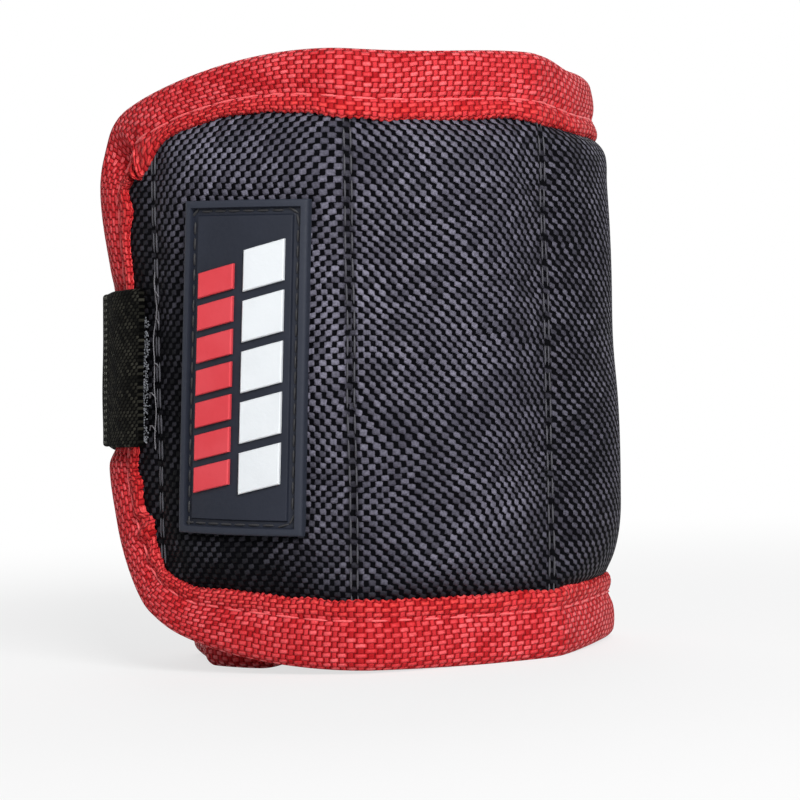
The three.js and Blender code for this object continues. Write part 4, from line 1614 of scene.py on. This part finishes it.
def strap_band(name, start, end, width, thickness, sink, material, ribs):
    """A length of the strap, or of a tape on it, sunk below the strap's middle line."""
    run = spread(start, end, STRAP_PITCH)
    plan, outward, height = strap_spot(run)
    across, out = strap_section(width, thickness)
    run, across = run[:, None], across[None, :]
    way = out[None, :] - sink + ribs * waves(run, across, STRAP_RIPPLE_LENGTH, 31)
    edge = across * (1 + STRAP_EDGE_WANDER * wander(run, STRAP_EDGE_WANDER_LENGTH, 37))
    rings = np.empty((*edge.shape, 3))
    rings[..., :2] = plan[:, None, :] + outward[:, None, :] * way[..., None]
    rings[..., 2] = height[:, None] + edge
    lean = STRAP_LEAN * (1 - smoothstep((run - ROOT_RUN) / LEAN_GONE_AFTER))
    rings[..., 0] += lean * (across - STRAP_WIDTH / 2)
    return tube(name, rings, np.stack(np.broadcast_arrays(run, across), axis=-1), material, STRAP_SHARP)


def strap_blend(piece, fold, parent, child, slot, nodes):
    mark = STRAP_FOLDS[fold]
    plan, _, height = strap_spot(np.array([mark - FOLD_REACH, mark + FOLD_REACH]))
    start, end = [(*(spot * MM), float(high) * MM) for spot, high in zip(plan, height)]
    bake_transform(piece)
    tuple(start)
    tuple(end)
    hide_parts(*nodes)


def make_strap():
    end = STRAP_RUN[-1]
    root, side, tip = STRAP_FOLDS
    ends = (0.0, (root + side) / 2, (side + tip) / 2, end)
    bodies = ("outer_end", "strap_bridge", "strap_middle", "strap_tip")
    webbing = ("strap_root_webbing", "strap_bridge_webbing", "strap_middle_webbing", "strap_tip_webbing")
    for fold, name in enumerate(("strap_root", "strap_side", "strap_tip")):
        sizes = STRAP_WIDTH, STRAP_THICKNESS, 0.0
        piece = strap_band(name, *ends[fold:fold + 2], *sizes, WEBBING, STRAP_RIPPLE)
        strap_blend(piece, fold, *bodies[fold:fold + 2], "strap_webbing", webbing[fold:fold + 2])
    sink = (STRAP_THICKNESS + HOOK_THICKNESS) / 2 + HOOK_SINK
    for name, start, stop, body, node in (
        ("hook_tape_side", side + FOLD_REACH, tip - PEEL_CLEAR, "strap_middle", "hook_tape_middle"),
        ("hook_tape_end", tip + PEEL_CLEAR, end - HOOK_FROM_TIP, "strap_tip", "hook_tape_tip"),
    ):
        piece = strap_band(name, start, stop, HOOK_WIDTH, HOOK_THICKNESS, sink, HOOK, 0.0)
        on_body(piece, body, "hook_tape", node)


def loop_back(s, up):
    return smooth_cover_face(s, up) + LOOP_GAP


def loop_front(s, up):
    return loop_back(s, up) + LOOP_THICKNESS + PILE_DEPTH * waves(s, up, PILE_LENGTH, 41)


def make_loop_tapes():
    for index in (5, 6):
        s = spread(STARTS[index] + LOOP_INSET, section_end(index) - LOOP_INSET, LOOP_PITCH)
        across = np.linspace(-LOOP_WIDTH / 2, LOOP_WIDTH / 2, LOOP_ROWS)
        up = STRAP_MID + np.tile(across, (len(s), 1))
        piece = shell(f"loop_field_{index}", s, up, loop_front, loop_back, LOOP)
        on_body(piece, BODIES[index], "loop_tape", f"loop_tape_{index}")


# ---------------------------------------------------------------- rubber patch

PATCH_MIDDLE = STARTS[1] + PATCH_FROM_SEAM + PATCH_WIDTH / 2 + PATCH_SHIFT
PATCH_THICKNESS = 1.6
PATCH_GAP = 0.05
PATCH_EDGE = 0.45
PATCH_STEP = 0.25
PATCH_PITCH = 0.8
PATCH_THREAD_STEPS = 40
BAR_STEPS = 8
BAR_RISE = 0.75
BAR_SINK = 0.15
BAR_CHAMFER = 0.18
BAR_SHARP = 25.0
PATCH_THREAD_RISE = 0.08


def patch_place(across, up):
    """A place on the patch, from its own middle, as a distance and a height on the band."""
    s = PATCH_MIDDLE + across * (1 - PATCH_SPREAD * up) + PATCH_LEAN * up
    return s, PATCH_MID + up + PATCH_SLOPE * across


def patch_floor(s, above):
    return smooth_cover_face(s, above) + PATCH_GAP


def patch_face(across, up):
    inset = np.minimum(PATCH_WIDTH / 2 - abs(across), PATCH_HEIGHT / 2 - abs(up))
    rounding = np.clip(inset / PATCH_EDGE, 0, 1)
    past_rim = smoothstep((inset - PATCH_RIM) / PATCH_STEP)
    groove = past_rim * (1 - smoothstep((inset - PATCH_RIM - PATCH_GROOVE_WIDTH) / PATCH_STEP))
    rise = PATCH_THICKNESS + PATCH_RIM_RISE * (1 - past_rim) - PATCH_GROOVE_DEPTH * groove
    rise = rise - PATCH_EDGE * (1 - np.sqrt(rounding * (2 - rounding)))
    return patch_floor(*patch_place(across, up)) + rise


def patch_lines(half):
    """Places across the patch, close together at its rim and groove and even between."""
    edge = np.array([0.0, 0.08, 0.2, 0.4, 0.7])
    step = np.array([-0.08, 0.0, 0.08, 0.17, 0.25, 0.35])
    groove = [PATCH_RIM + PATCH_GROOVE_WIDTH / 2 + 0.1]
    rim = np.concatenate([edge, PATCH_RIM + step, groove, PATCH_RIM + PATCH_GROOVE_WIDTH + step])
    flat = half - rim[-1] - 0.5
    return np.concatenate([rim - half, spread(-flat, flat, PATCH_PITCH), half - rim[::-1]])


def patch_sheet():
    across, up = np.meshgrid(patch_lines(PATCH_WIDTH / 2), patch_lines(PATCH_HEIGHT / 2), indexing="ij")
    s, above = patch_place(across, up)
    top = place(s, above, patch_face(across, up))
    base = place(s, above, patch_floor(s, above))
    piece = closed_sheet("patch_base", top, base, np.stack([across, up], axis=-1), RUBBER)
    on_body(piece, "panel_1", "moulded_rubber", "rubber_patch")


def round_corners(corners, count):
    """Even places along the straight lines from corner to corner, and back to the first."""
    share = np.linspace(0, 1, count, endpoint=False)[:, None]
    ends = zip(corners, np.roll(corners, -1, axis=0))
    return np.concatenate([first + (second - first) * share for first, second in ends])


def patch_bar(corners):
    """A flat-topped raised shape with a small chamfer, from its corners on the patch."""
    centre = corners.mean(0)
    away = corners - centre
    rings = []
    for shrink, rise in ((0.0, -BAR_SINK), (0.0, BAR_RISE - BAR_CHAMFER), (BAR_CHAMFER, BAR_RISE)):
        line = round_corners(centre + away * (1 - shrink / np.abs(away).max(axis=0)), BAR_STEPS)
        s, above = patch_place(*line.T)
        rings.append(place(s, above, patch_floor(s, above) + PATCH_THICKNESS + rise))
    return np.stack(rings)


def bar_column(name, sides, ends, material, *, count, slant, gap):
    """Slanted bars one above another, in one piece."""
    left, right = sides
    low, high = ends
    pitch = (high - low) / count
    points, faces = [], []
    for row in range(count):
        bottom = low + row * pitch
        top = bottom + pitch - gap
        corners = [(left, bottom), (right, bottom + slant), (right, top + slant), (left, top)]
        rings = patch_bar(np.array(corners, float))
        faces += ring_faces(*rings.shape[:2], len(points))
        points += rings.reshape(-1, 3).tolist()
    on_body(finish_mesh(name, points, faces, None, material, BAR_SHARP), "panel_1", "moulded_rubber")


def patch_thread():
    inset = PATCH_RIM + PATCH_GROOVE_WIDTH / 2
    right, top = PATCH_WIDTH / 2 - inset, PATCH_HEIGHT / 2 - inset
    corners = np.array([(-right, -top), (right, -top), (right, top), (-right, top)])
    line = np.concatenate([round_corners(corners, PATCH_THREAD_STEPS), corners[:1]])
    path = face_line(*patch_place(*line.T), patch_face(*line.T) + PATCH_THREAD_RISE)
    piece = thread_piece("patch_thread", [([path], PATCH_STITCH, BLACK_THREAD)])
    on_body(piece, "panel_1", "moulded_rubber")


def make_patch():
    patch_sheet()
    bar_column("patch_bars_red", (-7.5, -1.2), (-20.5, 16.5), RED_RUBBER, count=7, slant=1.6, gap=1.2)
    bar_column("patch_bars_white", (0.5, 7.1), (-20.5, 20.5), WHITE_RUBBER, count=5, slant=1.8, gap=1.5)
    patch_thread()


# ---------------------------------------------------------------- strap stitches

FRAY_COUNT = 190
FRAY_START = 12.6
FRAY_SPREAD = 2.3
FRAY_HEIGHTS = (-0.44, 0.34)
FRAY_REACH = (-0.3, 0.8)
FRAY_CLIMB = (-0.8, 0.8)
FRAY_ARCH = (0.15, 0.7)
FRAY_LEAN = 1.4
FRAY_RISE = 0.1
ROOT_STITCH_SINK = 0.02
ROOT_STITCH_ROWS = (4.5, 5.7)
ROOT_STITCH_INSET = 0.8
LOOSE_START = 15.7
LOOSE_SLOPE = 0.035
LOOSE_WANDER = 0.30
LOOSE_WANDER_LENGTH = 9.0
LOOSE_PITCH = 0.4
LOOSE_REACH = (16.5, -12.5)
# height and reach beside the thread of each side loop
LOOSE_LOOPS = ((13.0, 0.9), (8.5, 0.9), (1.0, 0.9), (-4.0, -1.2), (-9.5, -1.2))
LOOSE_RISE = 0.28
LOOSE_LOOP_CLIMB = 0.7
LOOSE_LOOP_RISE = 0.3


def root_line(runs, heights):
    """Places on the strap's root, leaning as it does, and the way that its face looks."""
    runs, heights = np.broadcast_arrays(np.asarray(runs, float), heights)
    plan, outward, height = strap_spot(runs)
    flat = plan + outward * (STRAP_THICKNESS / 2 - ROOT_STITCH_SINK)
    points = np.concatenate([flat, (height + heights)[:, None]], axis=1)
    points[:, 0] += STRAP_LEAN * (heights - STRAP_WIDTH / 2)
    return points, np.concatenate([outward, np.zeros((len(runs), 1))], axis=1)


def frayed_end():
    """Short loose fibres at the cut end of the webbing, in front of the patch."""
    hairs = []
    share = np.linspace(0, 1, 4)
    for _ in range(FRAY_COUNT):
        up = STRAP_MID + GRAIN.uniform(*FRAY_HEIGHTS) * STRAP_WIDTH
        start = FRAY_START + STRAP_LEAN * FRAY_LEAN * (up - STRAP_WIDTH / 2) + GRAIN.uniform(0.0, FRAY_SPREAD)
        reach, climb, rise = (GRAIN.uniform(*ends) for ends in (FRAY_REACH, FRAY_CLIMB, FRAY_ARCH))
        s, above = start + reach * share, up + climb * share**1.5
        out = cover_face(s, above) + FRAY_RISE + rise * np.sin(math.pi * 0.75 * share)
        hairs.append(face_line(s, above, out))
    return hairs


def loose_thread():
    """One wavy thread that runs down beside the strap's root, with a few short side loops."""
    up = spread(*(STRAP_MID + height for height in LOOSE_REACH), LOOSE_PITCH)
    s = LOOSE_START + LOOSE_SLOPE * (up - STRAP_MID) + LOOSE_WANDER * wander(up, LOOSE_WANDER_LENGTH, 51)
    lines = [face_line(s, up, cover_face(s, up) + LOOSE_RISE)]
    turn = np.linspace(0, 1, 6)
    arch = np.sin(math.pi * turn)
    for height, aside in LOOSE_LOOPS:
        above = STRAP_MID + height + LOOSE_LOOP_CLIMB * arch
        beside = np.interp(above, up[::-1], s[::-1]) + aside * turn
        out = cover_face(beside, above) + LOOSE_LOOP_RISE + LOOSE_LOOP_RISE * arch
        lines.append(face_line(beside, above, out))
    return lines


def make_strap_thread():
    edge = STRAP_WIDTH / 2 - ROOT_STITCH_INSET
    up = spread(-edge, edge, 0.5)
    rows = [root_line(ROOT_RUN - inset, up) for inset in ROOT_STITCH_ROWS]
    piece = thread_piece("strap_root_thread", [
        (rows, STRAP_STITCH, GLINT_THREAD),
        (frayed_end(), FRAY_STITCH, FIBRE),
        (loose_thread(), LOOSE_STITCH, GREY_THREAD),
    ])
    on_body(piece, "outer_end", "strap_webbing")


# ---------------------------------------------------------------- studio

FLOOR_REACH = 3.0
FLOOR_FADE = (0.1, 0.45, 0.7, 1.0)
SOFT_LIGHT = ((0.95, 0.97, 1.0, 1), 0.13)
WHITE_LIGHT = ((1, 1, 1, 1), 1.0)
AIM = Vector((0, 0, 0.05))
CAMERA_SPOT = (0.0087, -0.454, 0.04405)
CAMERA_LENS = 115.0
CAMERA_ROLL = 2.6


def seen_rays(tree):
    """One for the rays that show the background: straight from the camera, or by way of metal or glass."""
    path = tree.nodes.new("ShaderNodeLightPath")
    share = path.outputs["Is Camera Ray"]
    for word in ("Is Glossy Ray", "Is Transmission Ray"):
        either = tree.nodes.new("ShaderNodeMath")
        either.operation = "MAXIMUM"
        tree.links.new(share, either.inputs[0])
        tree.links.new(path.outputs[word], either.inputs[1])
        share = either.outputs[0]
    return share


def shining(tree, kind, colour, strength):
    node = tree.nodes.new(kind)
    node.inputs["Color"].default_value = colour
    node.inputs["Strength"].default_value = strength
    return node.outputs[0]


def join_shaders(tree, share, first, second, surface):
    """One shader or the other, to the surface."""
    both = tree.nodes.new("ShaderNodeMixShader")
    for value, socket in zip((share, first, second), both.inputs):
        tree.links.new(value, socket)
    tree.links.new(both.outputs[0], surface)


def make_floor():
    mix = Mix("pale floor")
    mix.finish(mix.blend(mix.grain(3.0), paint(236, 236, 236), paint(242, 242, 242)), 0.9)
    away = mix.new("ShaderNodeVectorMath", mix.place(), operation="LENGTH").outputs["Value"]
    share = mix.times(seen_rays(mix.tree), mix.ramp(away, *FLOOR_FADE))
    glow = shining(mix.tree, "ShaderNodeEmission", *WHITE_LIGHT)
    join_shaders(mix.tree, share, mix.shader.outputs[0], glow, mix.output.inputs["Surface"])
    corners = [(x * FLOOR_REACH, y * FLOOR_REACH, 0) for x, y in ((-1, -1), (1, -1), (1, 1), (-1, 1))]
    mesh = new_mesh("floor", corners, [(0, 1, 2, 3)])
    mesh.materials.append(mix.material)
    add_object("floor", mesh)


def make_world():
    world = bpy.data.worlds.new("studio")
    bpy.context.scene.world = world
    world.use_nodes = True
    tree = world.node_tree
    tree.nodes.clear()
    output = tree.nodes.new("ShaderNodeOutputWorld")
    soft, white = (shining(tree, "ShaderNodeBackground", *light) for light in (SOFT_LIGHT, WHITE_LIGHT))
    join_shaders(tree, seen_rays(tree), soft, white, output.inputs["Surface"])


def make_lamp(name, spot, *, size, power):
    light = bpy.data.lights.new(name, "AREA")
    light.energy = power
    light.size = size
    lamp = add_object(name, light)
    lamp.location = spot
    lamp.rotation_euler = (AIM - Vector(spot)).to_track_quat("-Z", "Y").to_euler()


def make_camera():
    data = bpy.data.cameras.new("camera")
    data.lens = CAMERA_LENS
    data.sensor_width = 36
    data.clip_start = 0.01
    camera = add_object("camera", data)
    camera.location = CAMERA_SPOT
    camera.rotation_euler = (math.radians(90), math.radians(CAMERA_ROLL), 0)
    bpy.context.scene.camera = camera


make_covers()
make_linings()
make_tapes()
make_threads()
make_foam()
make_magnets()
make_strap()
make_strap_thread()
make_loop_tapes()
make_patch()
make_floor()
make_world()
make_lamp("key", (0.28, -0.86, 0.52), size=0.4, power=10.6)
make_lamp("fill", (-0.8, -0.6, 0.3), size=0.9, power=0.3)
make_lamp("rim", (0.0, 0.8, 0.7), size=0.7, power=4.0)
make_camera()

scene_view = bpy.context.scene.view_settings
scene_view.view_transform = "Standard"
